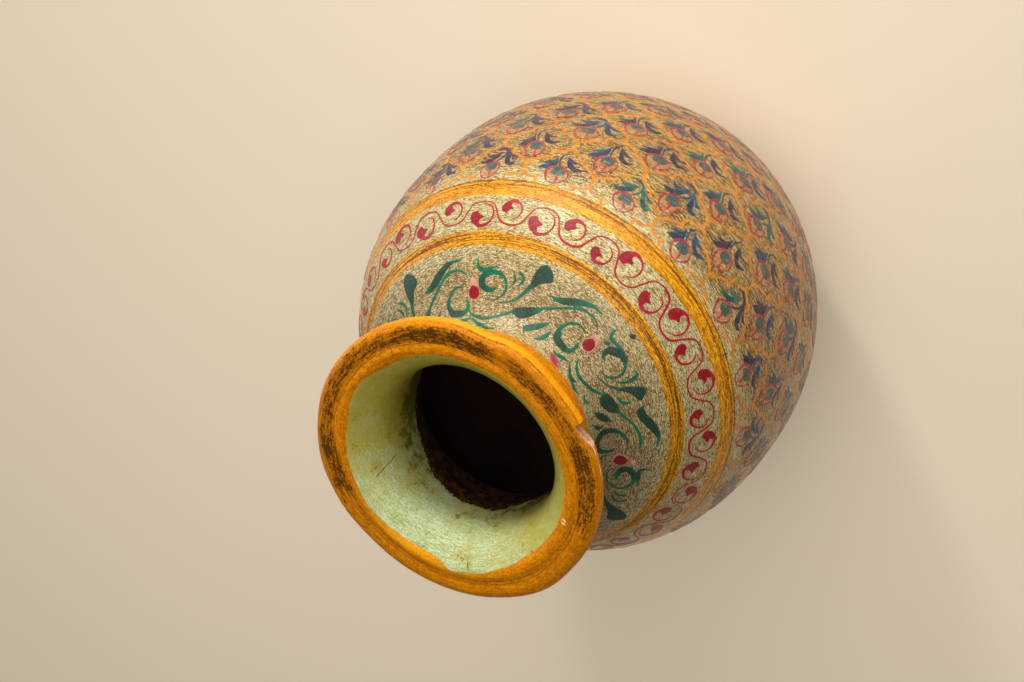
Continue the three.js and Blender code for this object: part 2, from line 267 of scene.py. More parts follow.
# Three ways of painting the leaves and the stem under a bud
BLOSSOM_LEAVES = (
    ((([(-6, 9.4), (-4.9, 7.1), (-3.6, 6), (-2, 7.6), (-0.8, 11.4), (-0.2, 16.6)],
       [(-6, 9.6), (-4.6, 8.4), (-3.1, 8.7), (-2.1, 11.2), (-1.2, 13.8), (-0.3, 16.7)]),
      ([(-4.4, 12.8), (-2.6, 12), (-1.2, 13.6), (-0.4, 16)],
       [(-4.4, 13), (-2.7, 13.5), (-1.4, 15.2), (-0.5, 16.3)])),
     (([(2.2, 15), (1.5, 10), (1.6, 6.6), (3.1, 3.3), (5.6, 2.8)],
       [(2.4, 15), (2.6, 10.8), (3.3, 8), (4.6, 5.6), (5.7, 3)]),
      ([(2.6, 10.4), (3.9, 7.4), (5.8, 7.1)], [(2.7, 11), (4.2, 9), (5.8, 7.3)])),
     ([(0.5, 7.2), (1, 11), (1.3, 15.4), (0.3, 19.6)], (0.7, 1, 1.1, 0.8))),
    ((([(-6.5, 4.6), (-5.2, 3), (-3.7, 3.2), (-2.6, 6.6), (-2.3, 14.4)],
       [(-6.5, 4.8), (-5, 6.4), (-3.9, 9.4), (-2.6, 14.6)]),),
     (([(-0.9, 14.8), (0.3, 9.4), (2, 6.2), (3.9, 3.8), (6.1, 4.8)],
       [(-0.7, 14.8), (1.4, 10.4), (3.4, 8.2), (5, 6.9), (6.2, 5)]),
      ([(-0.5, 14.4), (1.6, 10.8), (3.4, 9.3), (5.1, 9.8)],
       [(-0.3, 14.6), (2, 12.4), (3.6, 11.6), (5.1, 10)])),
     ([(0.5, 6.9), (-1.1, 10), (-2, 14.8), (-1.2, 18.4), (0.4, 18.4)], (1, 1.3, 1.4, 1.6, 0.8))),
    ((([(-6.9, 6.4), (-6.2, 4), (-4.5, 4.4), (-3.4, 7.4), (-2.8, 11.8), (-2.8, 16.6)],
       [(-6.9, 6.6), (-5.6, 5.8), (-4.7, 8.4), (-4, 11.8), (-3, 16.7)]),
      ([(-6.6, 11.2), (-5.2, 10.2), (-4, 12.6), (-3, 16)],
       [(-6.6, 11.5), (-5.2, 12.4), (-4.2, 14.2), (-3.1, 16.4)])),
     (([(-1.2, 16.6), (-0.2, 10.8), (1.6, 7.2), (3.5, 6.2), (5.1, 8.8)],
       [(-1, 16.6), (0.9, 12), (2.4, 9.6), (3.6, 8.6), (5, 9)]),
      ([(-0.9, 16.4), (1.1, 12.4), (2.7, 12), (4.1, 16)],
       [(-0.7, 16.6), (1.3, 14.4), (2.6, 13.8), (4, 16.2)])),
     ([(-0.2, 6.8), (-1.8, 10.8), (-2.5, 15), (-1.8, 19), (-0.2, 20.8), (1.5, 19.8)],
      (0.9, 1.2, 1.4, 1.6, 2, 0.8))),
)
# The net round a bud, in degrees and mm from its middle, as far as the bar that it shares with its neighbour
NET_ARCH = ([(0, -12), (0.9, -10.2), (2.5, -7.6), (4.3, -5.6), (6.1, -5.1)], (1.7, 2, 1.6, 1.5, 1))
NET_SIDE = ([(5.7, -6.4), (5.4, -3), (5.6, 0.9)], (1.1, 1.7, 1.3))
NET_LOBE_START = [(5.2, 0.2), (7.1, 0.6), (8.7, 2.4)]
FIRST_NET_SIDE = ([(4.8, -8.5), (4.8, -3.2)], (1.5, 1.2))
FIRST_NET_LOBE = [(4.8, -5), (6.8, -4.6), (8.6, -3)]
NET_LOBE_WIDTHS = (1, 1.7, 1.8, 1.6)
NET_BAR = (18.2, 12)            # the bar's ends over the next ring
NET_BAR_WIDTHS = (1.4, 2, 1.7)
NET_SWAY = 0.2

# Small knocks: strokes from the start of the lip's edge or from the inner edge of its face, and on the bands
EDGE_SCUFFS = (
    ([(-121.4, 5.4), (-123, 6.4), (-125, 6.7), (-127, 6.8)], (0.3, 0.7, 0.5, 0.2)),
    ([(-130, 6.8), (-132, 7.1), (-134, 6.9)], (0.2, 0.4, 0.2)),
)
FACE_BLISTERS = (
    ([(-157.6, 0.6), (-157.8, 3.2)], (0.5, 1, 0.4)),
    ([(-159.4, 0.6), (-159.6, 3.2)], (0.5, 1, 0.4)),
)
HAIRLINES = (
    ([(-24.4, 3), (-24.9, 6), (-24.6, 9.5)], (0.12, 0.22, 0.12)),
    ([(62, -9), (59.5, -16), (57, -24)], (0.12, 0.25, 0.2, 0.1)),
    ([(132, -3.4), (133.4, 0.8)], (0.15, 0.35, 0.15)),
)
BAND_KNOCK = ([(-106.4, 41.2), (-105.4, 40), (-104, 40.6)], [(-106.4, 41.6), (-105.2, 42.8), (-104, 41)])
BAND_SCRATCH = ([(-124.6, 77.6), (-124.4, 79.4), (-124.7, 81.4)], (0.3, 0.7, 0.3))

# Ranges in which the painter's hand varies
STROKE_SWELL = 0.1
SWELL_RATES = (5, 16)
SWELL_STARTS = (0, 6)
VINE_SWINGS = (0.86, 1.12)
VINE_WIDTHS = (0.55, 1.25)
CURL_TURNS = (-1, 1)
CURL_DROPS = (-0.7, 0.7)
CURL_SIZES = (0.84, 1.1)
BLOSSOM_LEANS = (-0.05, 0.05)
BLOSSOM_WIDTHS = (0.9, 1.08)
BLOSSOM_TURNS = (-0.4, 0.4)
BLOSSOM_DROPS = (-0.8, 0.8)

# Paints of the ornament: material, colour where it is thin and thick, how much of the ground's light grain
# and of its patches shows through, and how many coats lie under it
PAINTS = {
    "scroll_leaves": ("teal_paint", "0A6C4E", "22382E", 0.12, 0.0, 1),
    "crimson_strokes": ("crimson_paint", "A80C20", "860A1A", 0.12, 0.0, 2),
    "blush_strokes": ("blush_paint", "BC4E60", "9E3448", 0.4, 0.4, 1),
    "dot_halos": ("halo_paint", "D2A686", "C08A6E", 0.6, 0.8, 0),
    "bud_fills": ("fill_paint", "BC8458", "A86C42", 0.6, 0.8, 0),
    "blossom_hearts": ("heart_paint", "3A6C64", "204A48", 0.3, 0.25, 1),
    "navy_leaves": ("navy_paint", "322E4E", "1C1830", 0.15, 0.1, 1),
    "blue_leaves": ("blue_paint", "0E4864", "122C44", 0.15, 0.1, 1),
    "teal_leaves": ("deep_teal_paint", "0C6058", "104044", 0.15, 0.1, 1),
    "orange_net": ("net_paint", "CE7A00", "A25802", 0.34, 0.4, 0),
    "bud_outlines": ("rose_paint", "A22636", "781424", 0.3, 0.3, 2),
    "pale_scuffs": ("scuff_paint", "F4D8A8", "D8A878", 0.2, 0.3, 3),
    "dark_bruises": ("bruise_paint", "4A3A1C", "32260E", 0.0, 0.0, 3),
}

# Camera: focal length in the photo's pixels, place and target in metres, roll in degrees
PICTURE_WIDTH = 1024
FOCAL_PIXELS = 1800
SENSOR_WIDTH = 36
CAMERA_PLACE = (0, -0.56665, 0.93293)
CAMERA_TARGET = (0.0216, 0, 0.1910)
CAMERA_ROLL = -135.4

# Floor and light
FLOOR_RADIUS = 12
FLOOR_GLOW = 0.1                # how much paler than its lit colour the floor is seen
WORLD_STRENGTH = 0.17
LIGHT_TARGET_HEIGHT = 0.2
# Lamps: direction and rise in degrees, distance, width and height in metres, power in watts and spread
LAMPS = {
    "key": (-38, 14, 1.25, 0.16, 0.16, 1.4, 80),
    "broad": (-58, 8, 2, 2, 1, 16, 120),
    "sky": (-80, 64, 1.8, 1.6, 1.3, 4.6, 80),
    "fill": (18, 8, 2, 2.4, 1, 6.5, 120),
}


def smooth_share(value, low, high):
    share = np.clip((np.asarray(value, float) - low) / (high - low), 0, 1)
    return share * share * (3 - 2 * share)


def other_share(share, power):
    return (1 - share ** power) ** (1 / power)


BOWL_DROP = BELLY_HEIGHT / other_share(BASE_RADIUS / BELLY_RADIUS, BOWL_POWER)


def body_radius(height, inset=0.0):
    above = height > BELLY_HEIGHT
    reach = np.where(above, SHOULDER_RISE, BOWL_DROP) - inset
    power = np.where(above, SHOULDER_POWER, BOWL_POWER)
    share = np.clip(np.abs(height - BELLY_HEIGHT) / reach, 0, 1)
    return (BELLY_RADIUS - inset) * other_share(share, power)


def shoulder_height(radius, inset=0.0):
    share = radius / (BELLY_RADIUS - inset)
    return BELLY_HEIGHT + (SHOULDER_RISE - inset) * other_share(share, SHOULDER_POWER)


def bezier(*corners):
    share = np.linspace(0, 1, CURVE_POINTS)[:, None]
    level = [np.array(corner, float) + 0 * share for corner in corners]
    while len(level) > 1:
        level = [a * (1 - share) + b * share for a, b in zip(level, level[1:])]
    return level[0]


def body_curve(start, end):
    height = start + (end - start) * np.linspace(0, 1, CURVE_POINTS)
    return np.stack([body_radius(height), height], 1)


def neck_foot():
    start = np.array([NECK_RADIUS + FILLET_REACH, shoulder_height(NECK_RADIUS + FILLET_REACH)])
    nearby = start[0] - SLOPE_STEP
    along = np.array([nearby, shoulder_height(nearby)]) - start
    lead = start + along / np.linalg.norm(along) * FILLET_REACH / 2
    top = start[1] + FILLET_RISE
    return bezier((NECK_RADIUS, top), (NECK_RADIUS, top - FILLET_RISE / 2), lead, start)


def lip_edge(centre):
    turn = np.linspace(math.pi / 2, -math.pi / 2, CURVE_POINTS)
    return np.stack([centre[0] + LIP_RADIUS * np.cos(turn), centre[1] + LIP_RADIUS * np.sin(turn)], 1)


def whole_profile():
    """The outline from the throat's end up the bore, over the lip, down the outside and under the base."""
    edge = (MOUTH_RADIUS - LIP_RADIUS, MOUTH_TOP - LIP_RADIUS - LIP_FALL / 2)
    face_inner = MOUTH_RADIUS - LIP_WIDTH
    floor = MOUTH_TOP - LIP_GROOVE_DEPTH
    groove_inner = (edge[0] + face_inner) / 2
    groove_outer = groove_inner + LIP_GROOVE_WIDTH
    land = (groove_inner + face_inner) / 2
    flare = (face_inner, MOUTH_TOP - LIP_FALL)
    flare_start = (THROAT_RADIUS, MOUTH_TOP - FLARE_START)
    lower_guide = (THROAT_RADIUS, MOUTH_TOP - (FLARE_START + FLARE_LEAD) / 2)
    upper_guide = ((THROAT_RADIUS + face_inner) / 2, (MOUTH_TOP - FLARE_LEAD + flare[1]) / 2)
    flare_middle = tuple((low + high) / 2 for low, high in zip(lower_guide, upper_guide))
    under = edge[1] - LIP_RADIUS
    waist = MOUTH_TOP - FLARE_DEPTH - BEND_HEIGHT
    foot = neck_foot()
    return [
        bezier((COLLAR_FOOT_RADIUS, NECK_SEAM), (THROAT_RADIUS, WAIST_SEAM)),
        bezier((THROAT_RADIUS, WAIST_SEAM), flare_start),
        bezier(flare_start, lower_guide, flare_middle),
        bezier(flare_middle, upper_guide, flare),
        bezier(flare, (land, MOUTH_TOP), (land, MOUTH_TOP), (groove_inner, floor)),
        bezier((groove_inner, floor), (groove_outer, floor)),
        bezier((groove_outer, floor), (groove_outer, edge[1] + LIP_RADIUS), (edge[0], edge[1] + LIP_RADIUS)),
        lip_edge(edge),
        bezier((edge[0], under), (face_inner, under), (NECK_RADIUS, under), (NECK_RADIUS, waist)),
        bezier((NECK_RADIUS, waist), foot[0]),
        foot,
        body_curve(foot[-1][1], BELLY_HEIGHT),
        body_curve(BELLY_HEIGHT, BASE_EDGE_ROUND),
        bezier((body_radius(BASE_EDGE_ROUND), BASE_EDGE_ROUND), (BASE_RADIUS, 0),
               (BASE_RADIUS - BASE_EDGE_ROUND, 0)),
        bezier((BASE_RADIUS - BASE_EDGE_ROUND, 0), (0, 0)),
    ]


profile_parts = whole_profile()
profile = np.vstack([part if index == 0 else part[1:] for index, part in enumerate(profile_parts)])
profile_run = np.concatenate([[0], np.cumsum(np.hypot(*np.diff(profile, axis=0).T))])
parts_above_foot = 10
foot_index = sum(len(part) - 1 for part in profile_parts[:parts_above_foot])
profile_run -= profile_run[foot_index]
profile_slope = np.gradient(profile, profile_run, axis=0)


def on_profile(run):
    """Radius, height and outward direction at a distance along the profile."""
    radius, height = (np.interp(run, profile_run, profile[:, side]) for side in (0, 1))
    out_radius = -np.interp(run, profile_run, profile_slope[:, 1])
    out_height = np.interp(run, profile_run, profile_slope[:, 0])
    length = np.hypot(out_radius, out_height)
    return radius, height, out_radius / length, out_height / length


def run_where(side, value, first, last):
    """Distance along the profile between two runs, where its radius or its height has a value."""
    chosen = (profile_run >= first) & (profile_run <= last)
    values, runs = profile[chosen, side], profile_run[chosen]
    order = np.argsort(values)
    return np.interp(value, values[order], runs[order])


def run_at_height(height, first, last):
    return run_where(1, height, first, last)


def run_at_radius(radius, first, last):
    return run_where(0, radius, first, last)


def part_start(index):
    return profile_run[sum(len(part) - 1 for part in profile_parts[:index])]


THROAT_END = profile_run[0]
WAIST_INSIDE = part_start(1)
FLARE_FOOT = part_start(3)
FACE_INNER = part_start(4)
GROOVE_RUN = part_start(5)
EDGE_START = part_start(7)
UNDERSIDE_END = part_start(9)
WAIST_OUTSIDE = run_at_height(WAIST_SEAM, part_start(9), 0)
NECK_SEAM_RUN = run_at_height(NECK_SEAM, 0, part_start(11))
BELLY_RUN = part_start(12)
BASE_SEAM_RUN = run_at_height(BASE_SEAM, BELLY_RUN, part_start(13))
GROUND_RUN = part_start(14)

# Where the green paint in the mouth ends on the lip's face: direction, radius
GREEN_EDGE = ((-178, 56), (-159, 56.8), (-138, 57.6), (-104, 58.4), (-73, 59.1), (-42, 58.4), (-17, 56.9),
              (7, 59.1), (27, 57.7), (50, 58.7), (72, 59.2), (98, 57.2), (110, 56.7), (116, 57.2),
              (124, 60.8), (139, 59.5), (151, 57.7), (170, 56))
# Where it ends in the throat: direction, height
THROAT_EDGE = ((-170, 242), (-60, 239), (20, 241), (30, 243), (40, 246), (59, 250), (72, 254), (85, 258),
               (94, 259), (100, 261), (134, 260.5), (143, 254), (156, 248), (172, 243))
# The lip's outline: direction, radius
LIP_OUTLINE = ((-176, 74.6), (-134, 75.3), (-100, 74.9), (-80, 76.6), (-66, 74.6), (-54, 75.9), (-7, 74.7),
               (25, 75.7), (50, 76.9), (67, 76.3), (88, 74.6), (112, 74.7), (142, 75.2), (162, 76))

# Wear of the lip's paint: direction and share, then direction and radius of its middle
LIP_WEAR = ((-178, 0.15), (-165, 0.4), (-150, 0.9), (-125, 1), (-112, 0.6), (-98, 0.9), (-84, 0.8),
            (-75, 0.35), (-66, 0.95), (-40, 1), (-27, 0.7), (0, 0.8), (30, 0.75), (46, 1), (58, 0.95),
            (72, 0.45), (110, 0.25), (150, 0.25))
LIP_WEAR_MIDDLE = ((-178, 68), (-150, 69.3), (-125, 69), (-90, 67.7), (-60, 68.4), (0, 70), (35, 68.6),
                   (52, 65.8), (70, 67), (120, 66.5), (160, 67))
LIP_WEAR_REACH = 5.4
LIP_WEAR_FADE = (0.4, 1.3)      # shares of that reach over which the wear dies out
# Painted highlight on the lip's outer edge, brightest on the side that faces the lamps: direction and share
LIP_EDGE_HIGHLIGHT = ((-160, 0), (-124, 0.2), (-112, 0.8), (-60, 0.9), (-45, 0.5), (-20, 0), (100, 0))
# Olive stain over the mouth's green, strongest on the side turned from the lamps, so partly a real stain and
# partly painted shade: direction and share
MOUTH_STAIN_AND_SHADE = ((-178, 0.6), (-120, 0.9), (-60, 1), (0, 0.9), (30, 0.7), (60, 0.4), (100, 0.05), (130, 0.2),
               (160, 0.5))


def round_trip(pairs, direction):
    """A smooth closed curve through pairs of a direction and a value."""
    angles, values = np.array(pairs, float).T
    angles = np.concatenate([angles - 360, angles, angles + 360])
    values = np.tile(values, 3)
    direction = (np.asarray(direction, float) + 180) % 360 - 180
    index = np.clip(np.searchsorted(angles, direction, side="right") - 1, 1, len(angles) - 3)
    share = (direction - angles[index]) / (angles[index + 1] - angles[index])
    share = share * share * (3 - 2 * share)
    return values[index] * (1 - share) + values[index + 1] * share


def band_tilt(direction, run):
    drop = BAND_TILT * (1 - np.cos(np.radians(direction - BAND_TILT_TOP)))
    return drop * smooth_share(run, *TILT_GROWS) * (1 - smooth_share(run, *TILT_FADES))


def paint_run(direction, run):
    """The profile distance with the wavy paint edges pulled straight, for the materials."""
    direction, run = np.broadcast_arrays(np.asarray(direction, float), np.asarray(run, float))
    green = run_at_radius(round_trip(GREEN_EDGE, direction), FLARE_FOOT, EDGE_START) - FACE_INNER
    throat = run_at_height(round_trip(THROAT_EDGE, direction), THROAT_END, FLARE_FOOT) - THROAT_END
    near_green = 1 - smooth_share(np.abs(run - FACE_INNER), *GREEN_FADE)
    near_throat = 1 - smooth_share(run, FLARE_FOOT, FACE_INNER - 2)
    inside = run < EDGE_START
    pulled = np.where(inside, run - green * near_green - throat * near_throat * (1 - near_green), run)
    return np.where(run > 0, run - band_tilt(direction, run), pulled)


def age(direction, run):
    """Shares of wear on the lip's face, or of painted highlight on its outer edge, and of olive stain with
    painted shade in the mouth.
    """
    away = np.abs(on_profile(run)[0] - round_trip(LIP_WEAR_MIDDLE, direction)) / LIP_WEAR_REACH
    worn = round_trip(LIP_WEAR, direction) * (1 - smooth_share(away, *LIP_WEAR_FADE))
    # the outer edge gets a share of painted highlight, largest where it faces the lamps
    edge_highlight = round_trip(LIP_EDGE_HIGHLIGHT, direction) * (run < UNDERSIDE_END)
    on_lip = np.where(run < EDGE_START + LIP_RADIUS, worn * (run > FACE_INNER), edge_highlight)
    return np.stack([on_lip, round_trip(MOUTH_STAIN_AND_SHADE, direction)], -1)


def hand_wobble(direction, height):
    """Share by which hand work pulls the radius in: never positive, so that the CAD box holds it."""
    turn = np.radians(direction)
    rise = height / BELLY_HEIGHT
    wave = np.sin(2 * turn + 1.1 * rise)
    wave = wave + 0.6 * np.sin(3 * turn - 2.3 * rise + 1)
    wave = wave + 0.4 * np.sin(5 * turn + 4 * rise)
    return WOBBLE * (wave - WOBBLE_PEAK)


def surface(direction, run, lift=0.0):
    """Points in millimetres at places on the pot, lifted off its surface."""
    direction, run = np.asarray(direction, float), np.asarray(run, float)
    radius, height, out_radius, out_height = on_profile(run)
    on_lip = smooth_share(radius, *OUTLINE_RADII) * (height > WAIST_SEAM)
    radius = radius + on_lip * (round_trip(LIP_OUTLINE, direction) - MOUTH_RADIUS)
    uneven = hand_wobble(direction, height) * smooth_share(radius, *WOBBLE_RADII)
    radius = radius * (1 + uneven) + lift * out_radius
    turn = np.radians(direction)
    height = height + lift * out_height + 0 * turn
    return np.stack([radius * np.cos(turn), radius * np.sin(turn), height], -1)


def run_rows(first, last, step):
    """Distances from first to last, with a narrow row at each end."""
    count = max(2, round(abs(last - first) / step))
    inner = np.linspace(first, last, count + 1)[1:-1]
    return np.concatenate([[first, first + SEAM_ROW], inner, [last - SEAM_ROW, last]])


def painted(first, last, step=SKIN_STEP):
    """Rows of a section along its painted surface."""
    return [("painted", run) for run in run_rows(first, last, step)]


def hidden(points):
    """Rows of a section's hidden faces, through points of radius and height."""
    return [("hidden", point) for point in points]


def mesh_object(name, points, faces, maps, materials, face_materials=None):
    mesh = bpy.data.meshes.new(name)
    mesh.from_pydata((np.asarray(points) * MM).tolist(), [], faces)
    corner = np.empty(len(mesh.loops), int)
    mesh.loops.foreach_get("vertex_index", corner)
    for map_name, values in maps.items():
        layer = mesh.uv_layers.new(name=map_name)
        layer.data.foreach_set("uv", np.asarray(values, float)[corner].ravel())
    if face_materials is not None:
        mesh.polygons.foreach_set("material_index", np.asarray(face_materials, int))
    for material in materials:
        mesh.materials.append(material)
    mesh.shade_smooth()
    mesh.set_sharp_from_angle(angle=SHARP_ANGLE)
    piece = bpy.data.objects.new(name, mesh)
    bpy.context.collection.objects.link(piece)
    return piece


def skin(name, rows, directions, materials, capped=False, shape=None):
    """A closed body of rows round the pot. It closes on its first row, or at its axis where it is capped."""
    turn = np.radians(directions)
    points, places, age_and_light_values, bare = [], [], [], []
    for kind, at in rows:
        if kind == "painted":
            points.append(surface(directions, at))
            runs = np.full(len(directions), at)
            places.append(np.stack([runs, paint_run(directions, at)], -1) / PLACE_UNIT)
            # shares of wear and stain, with painted highlight on the lip's edge and painted shade in the
            # mouth
            age_and_light_values.append(age(directions, at))
        else:
            radius, height = at
            points.append(np.stack([radius * np.cos(turn), radius * np.sin(turn), height + 0 * turn], -1))
            places.append(np.full((len(directions), 2), THROAT_END / PLACE_UNIT))
            age_and_light_values.append(np.zeros((len(directions), 2)))
        bare.append(kind == "hidden")
    cut = [np.zeros(len(directions), bool) for _ in rows]
    if shape is not None:
        points, cut = zip(*(shape(directions, at, row) for (_, at), row in zip(rows, points)))
    across, count = len(directions), len(rows)
    index = np.arange(count * across).reshape(count, across)
    first, second = (index[:-1], index[1:]) if capped else (index, np.roll(index, -1, 0))
    quads = np.stack([first, second, np.roll(second, -1, 1), np.roll(first, -1, 1)], -1).reshape(-1, 4)
    bare = np.repeat(np.array(bare), across)
    cut = np.concatenate(cut)
    face_materials = np.where(cut[quads].all(1), 2, bare[quads].any(1))
    faces, points, places, age_and_light_values = quads.tolist(), np.vstack(points), np.vstack(places), np.vstack(age_and_light_values)
    if capped:
        centres = [(0, 0, rows[0][1][1]), (0, 0, points[-1][2])]
        points = np.vstack([points, centres])
        places = np.vstack([places, places[0], places[-1]])
        age_and_light_values = np.vstack([age_and_light_values, age_and_light_values[0], age_and_light_values[-1]])
        top, bottom = len(points) - 2, len(points) - 1
        faces += [[top, a, b] for a, b in zip(index[0], np.roll(index[0], -1))]
        faces += [[bottom, b, a] for a, b in zip(index[-1], np.roll(index[-1], -1))]
        face_materials = np.concatenate([face_materials, np.ones(across), np.zeros(across)])
    return mesh_object(name, points, faces, {"place": places, "age": age_and_light_values}, materials, face_materials)


# Materials


def paint(code):
    """A colour from its display code, as linear light."""
    shares = [int(code[place:place + 2], 16) / 255 for place in (0, 2, 4)]
    linear = [share / 12.92 if share <= 0.04045 else ((share + 0.055) / 1.055) ** 2.4 for share in shares]
    return linear + [1]


class Shader:
    """A node material with short calls for the nodes that the finishes share."""

    def __init__(self, name):
        self.material = bpy.data.materials.new(name)
        self.material.use_nodes = True
        self.tree = self.material.node_tree
        self.surface = self.tree.nodes["Principled BSDF"]
        run, level = self.pair("place")
        self.run = self.times(run, PLACE_UNIT)
        self.level = self.times(level, PLACE_UNIT)
        self.spot = self.node("ShaderNodeTexCoord").outputs["Object"]
        flat = self.node("ShaderNodeVectorMath", operation="MULTIPLY", inputs=(self.spot, (1, 1, 0)))
        ring = self.node("ShaderNodeVectorMath", operation="NORMALIZE", inputs=(flat.outputs[0],))
        self.ring = ring.outputs[0]

    def node(self, kind, inputs=(), **settings):
        made = self.tree.nodes.new(kind)
        for name, value in settings.items():
            if name in made.inputs:
                self.set(made.inputs[name], value)
            else:
                setattr(made, name, value)
        for index, value in enumerate(inputs):
            self.set(made.inputs[index], value)
        return made

    def set(self, socket, value):
        if isinstance(value, bpy.types.NodeSocket):
            self.tree.links.new(value, socket)
        else:
            socket.default_value = value

    def pair(self, map_name):
        """The two values that a map holds."""
        values = self.node("ShaderNodeUVMap", uv_map=map_name).outputs["UV"]
        split = self.node("ShaderNodeSeparateXYZ", Vector=values)
        return split.outputs["X"], split.outputs["Y"]

    def math(self, operation, *values, clamp=False):
        return self.node("ShaderNodeMath", inputs=values, operation=operation, use_clamp=clamp).outputs[0]

    def add(self, a, b):
        return self.math("ADD", a, b)

    def times(self, a, b):
        return self.math("MULTIPLY", a, b)

    def most(self, a, b):
        return self.math("MAXIMUM", a, b)

    def rest(self, share):
        return self.math("SUBTRACT", 1.0, share)

    def scaled(self, value, factor, shift, clamp=False):
        return self.math("MULTIPLY_ADD", value, factor, shift, clamp=clamp)

    def ramp(self, value, low, high, start=0.0, end=1.0):
        made = self.node("ShaderNodeMapRange", inputs=(value, low, high, start, end))
        made.interpolation_type = "SMOOTHSTEP"
        return made.outputs[0]

    def between(self, value, low, high, soft):
        above = self.ramp(value, low - soft, low + soft)
        below = self.ramp(value, high - soft, high + soft, 1.0, 0.0)
        return self.times(above, below)

    def mix(self, share, a, b):
        made = self.node("ShaderNodeMix", data_type="RGBA")
        for name, value in (("Factor_Float", share), ("A_Color", a), ("B_Color", b)):
            socket = next(socket for socket in made.inputs if socket.identifier == name)
            self.set(socket, value)
        return next(socket for socket in made.outputs if socket.identifier == "Result_Color")

    def noise(self, vector, scale, detail=3.0, roughness=0.55, distortion=0.0):
        made = self.node("ShaderNodeTexNoise", Vector=vector, Scale=scale, Detail=detail)
        made.inputs["Roughness"].default_value = roughness
        made.inputs["Distortion"].default_value = distortion
        return made.outputs["Fac"]

    def brush(self, length, width, offset=0.0):
        """Coordinates in which a noise of scale 1 makes strokes round the pot, of that length and width."""
        around = self.node("ShaderNodeVectorMath", operation="SCALE", inputs=(self.ring,))
        around.inputs["Scale"].default_value = RING_RADIUS / length
        split = self.node("ShaderNodeSeparateXYZ", Vector=around.outputs[0])
        along = self.scaled(self.run, 1 / width, offset)
        joined = self.node("ShaderNodeCombineXYZ", inputs=(split.outputs["X"], split.outputs["Y"], along))
        return joined.outputs[0]

    def strokes(self, length, width, detail=2.0, roughness=0.55, offset=0.0, distortion=0.0):
        return self.noise(self.brush(length, width, offset), 1.0, detail, roughness, distortion)

    def clouds(self, size, detail=3.0, roughness=0.55, distortion=0.0):
        return self.noise(self.spot, 1000 / size, detail, roughness, distortion)

    def bump(self, height, distance):
        return self.node("ShaderNodeBump", Height=height, Distance=distance * MM).outputs["Normal"]

    def finish(self, colour, roughness, normal, **sockets):
        self.set(self.surface.inputs["Base Color"], colour)
        self.set(self.surface.inputs["Roughness"], roughness)
        self.set(self.surface.inputs["Normal"], normal)
        for name, value in sockets.items():
            self.set(self.surface.inputs[name.replace("_", " ")], value)
        return self.material

    def varnished(self, colour, roughness, relief, weight=VARNISH_WEIGHT, metal=0.0):
        """Paint with a relief, under a clear varnish that evens the relief out."""
        return self.finish(colour, roughness, self.bump(relief, PAINT_RELIEF), Metallic=metal,
                           Specular_IOR_Level=UNDER_VARNISH, Coat_Weight=weight, Coat_IOR=VARNISH_IOR,
                           Coat_Roughness=VARNISH_ROUGHNESS, Coat_Normal=self.bump(relief, VARNISH_RELIEF))


def ground_colours(sh):
    """The khaki-gold ground under the ornament: fine brushed grain, brown clouds, ochre on the belly."""
    grain = sh.strokes(2.2, 0.35, 2.0, 0.62, 0, 1.1)
    cross = sh.noise(sh.spot, 1800, 2.0, 0.6)
    fleck = sh.add(sh.times(grain, 0.76), sh.times(cross, 0.24))
    cloud = sh.clouds(30, 4.0, 0.62)
    patch = sh.clouds(11, 3.0, 0.6, 0.5)
    belly = sh.ramp(sh.level, LOWER_BAND[1] + 2, LOWER_BAND[1] + 16)
    field = sh.between(sh.add(sh.level, sh.times(cloud, 14)), 14, 46, 10)
    clouded = sh.math("ADD", sh.times(field, 0.7), sh.ramp(cloud, 0.42, 0.66, 0.0, 0.45), clamp=True)
    khaki = sh.mix(clouded, paint("B8A86E"), paint("866830"))
    ochre = sh.mix(sh.ramp(cloud, 0.38, 0.62), paint("9C782A"), paint("6E4A14"))
    base = sh.mix(belly, khaki, ochre)
    base = sh.mix(sh.ramp(patch, 0.52, 0.74, 0.0, 0.5), base, paint("75521F"))
    dark = sh.mix(belly, paint("644C1C"), paint("3E2606"))
    light = sh.mix(belly, paint("D8CEA4"), paint("D2B480"))
    colour = sh.mix(sh.ramp(fleck, 0.505, 0.43), base, dark)
    colour = sh.mix(sh.ramp(fleck, 0.52, 0.58, 0.0, 0.95), colour, light)
    return colour, fleck


def band_colours(sh, fleck, level):
    """Golden orange, brushed round the pot, with brown lines where the brush ran dry."""
    streak = sh.strokes(30, 0.8, 3.0, 0.6, 40)
    colour = sh.mix(sh.ramp(streak, 0.38, 0.64), paint("CA8000"), paint("F2A608"))
    colour = sh.mix(sh.ramp(sh.clouds(5, 4.0, 0.65), 0.5, 0.34, 0.0, 0.5), colour, paint("A85A02"))
    colour = sh.mix(sh.ramp(fleck, 0.5, 0.43, 0.0, 0.85), colour, paint("7E4204"))
    colour = sh.mix(sh.ramp(fleck, 0.53, 0.6, 0.0, 0.6), colour, paint("FFC22C"))
    rub = sh.strokes(36, 0.42, 3.0, 0.65, 71)
    lines = sh.most(*(sh.between(level, *line) for line in DRY_LINES))
    lines = sh.most(lines, sh.times(sh.between(level, *DRY_PATCH), 0.85))
    dry = sh.add(sh.add(rub, sh.times(lines, 0.13)), sh.scaled(fleck, -0.5, 0.25))
    return sh.mix(sh.ramp(dry, 0.55, 0.64, 0.0, 0.9), colour, paint("582C04"))


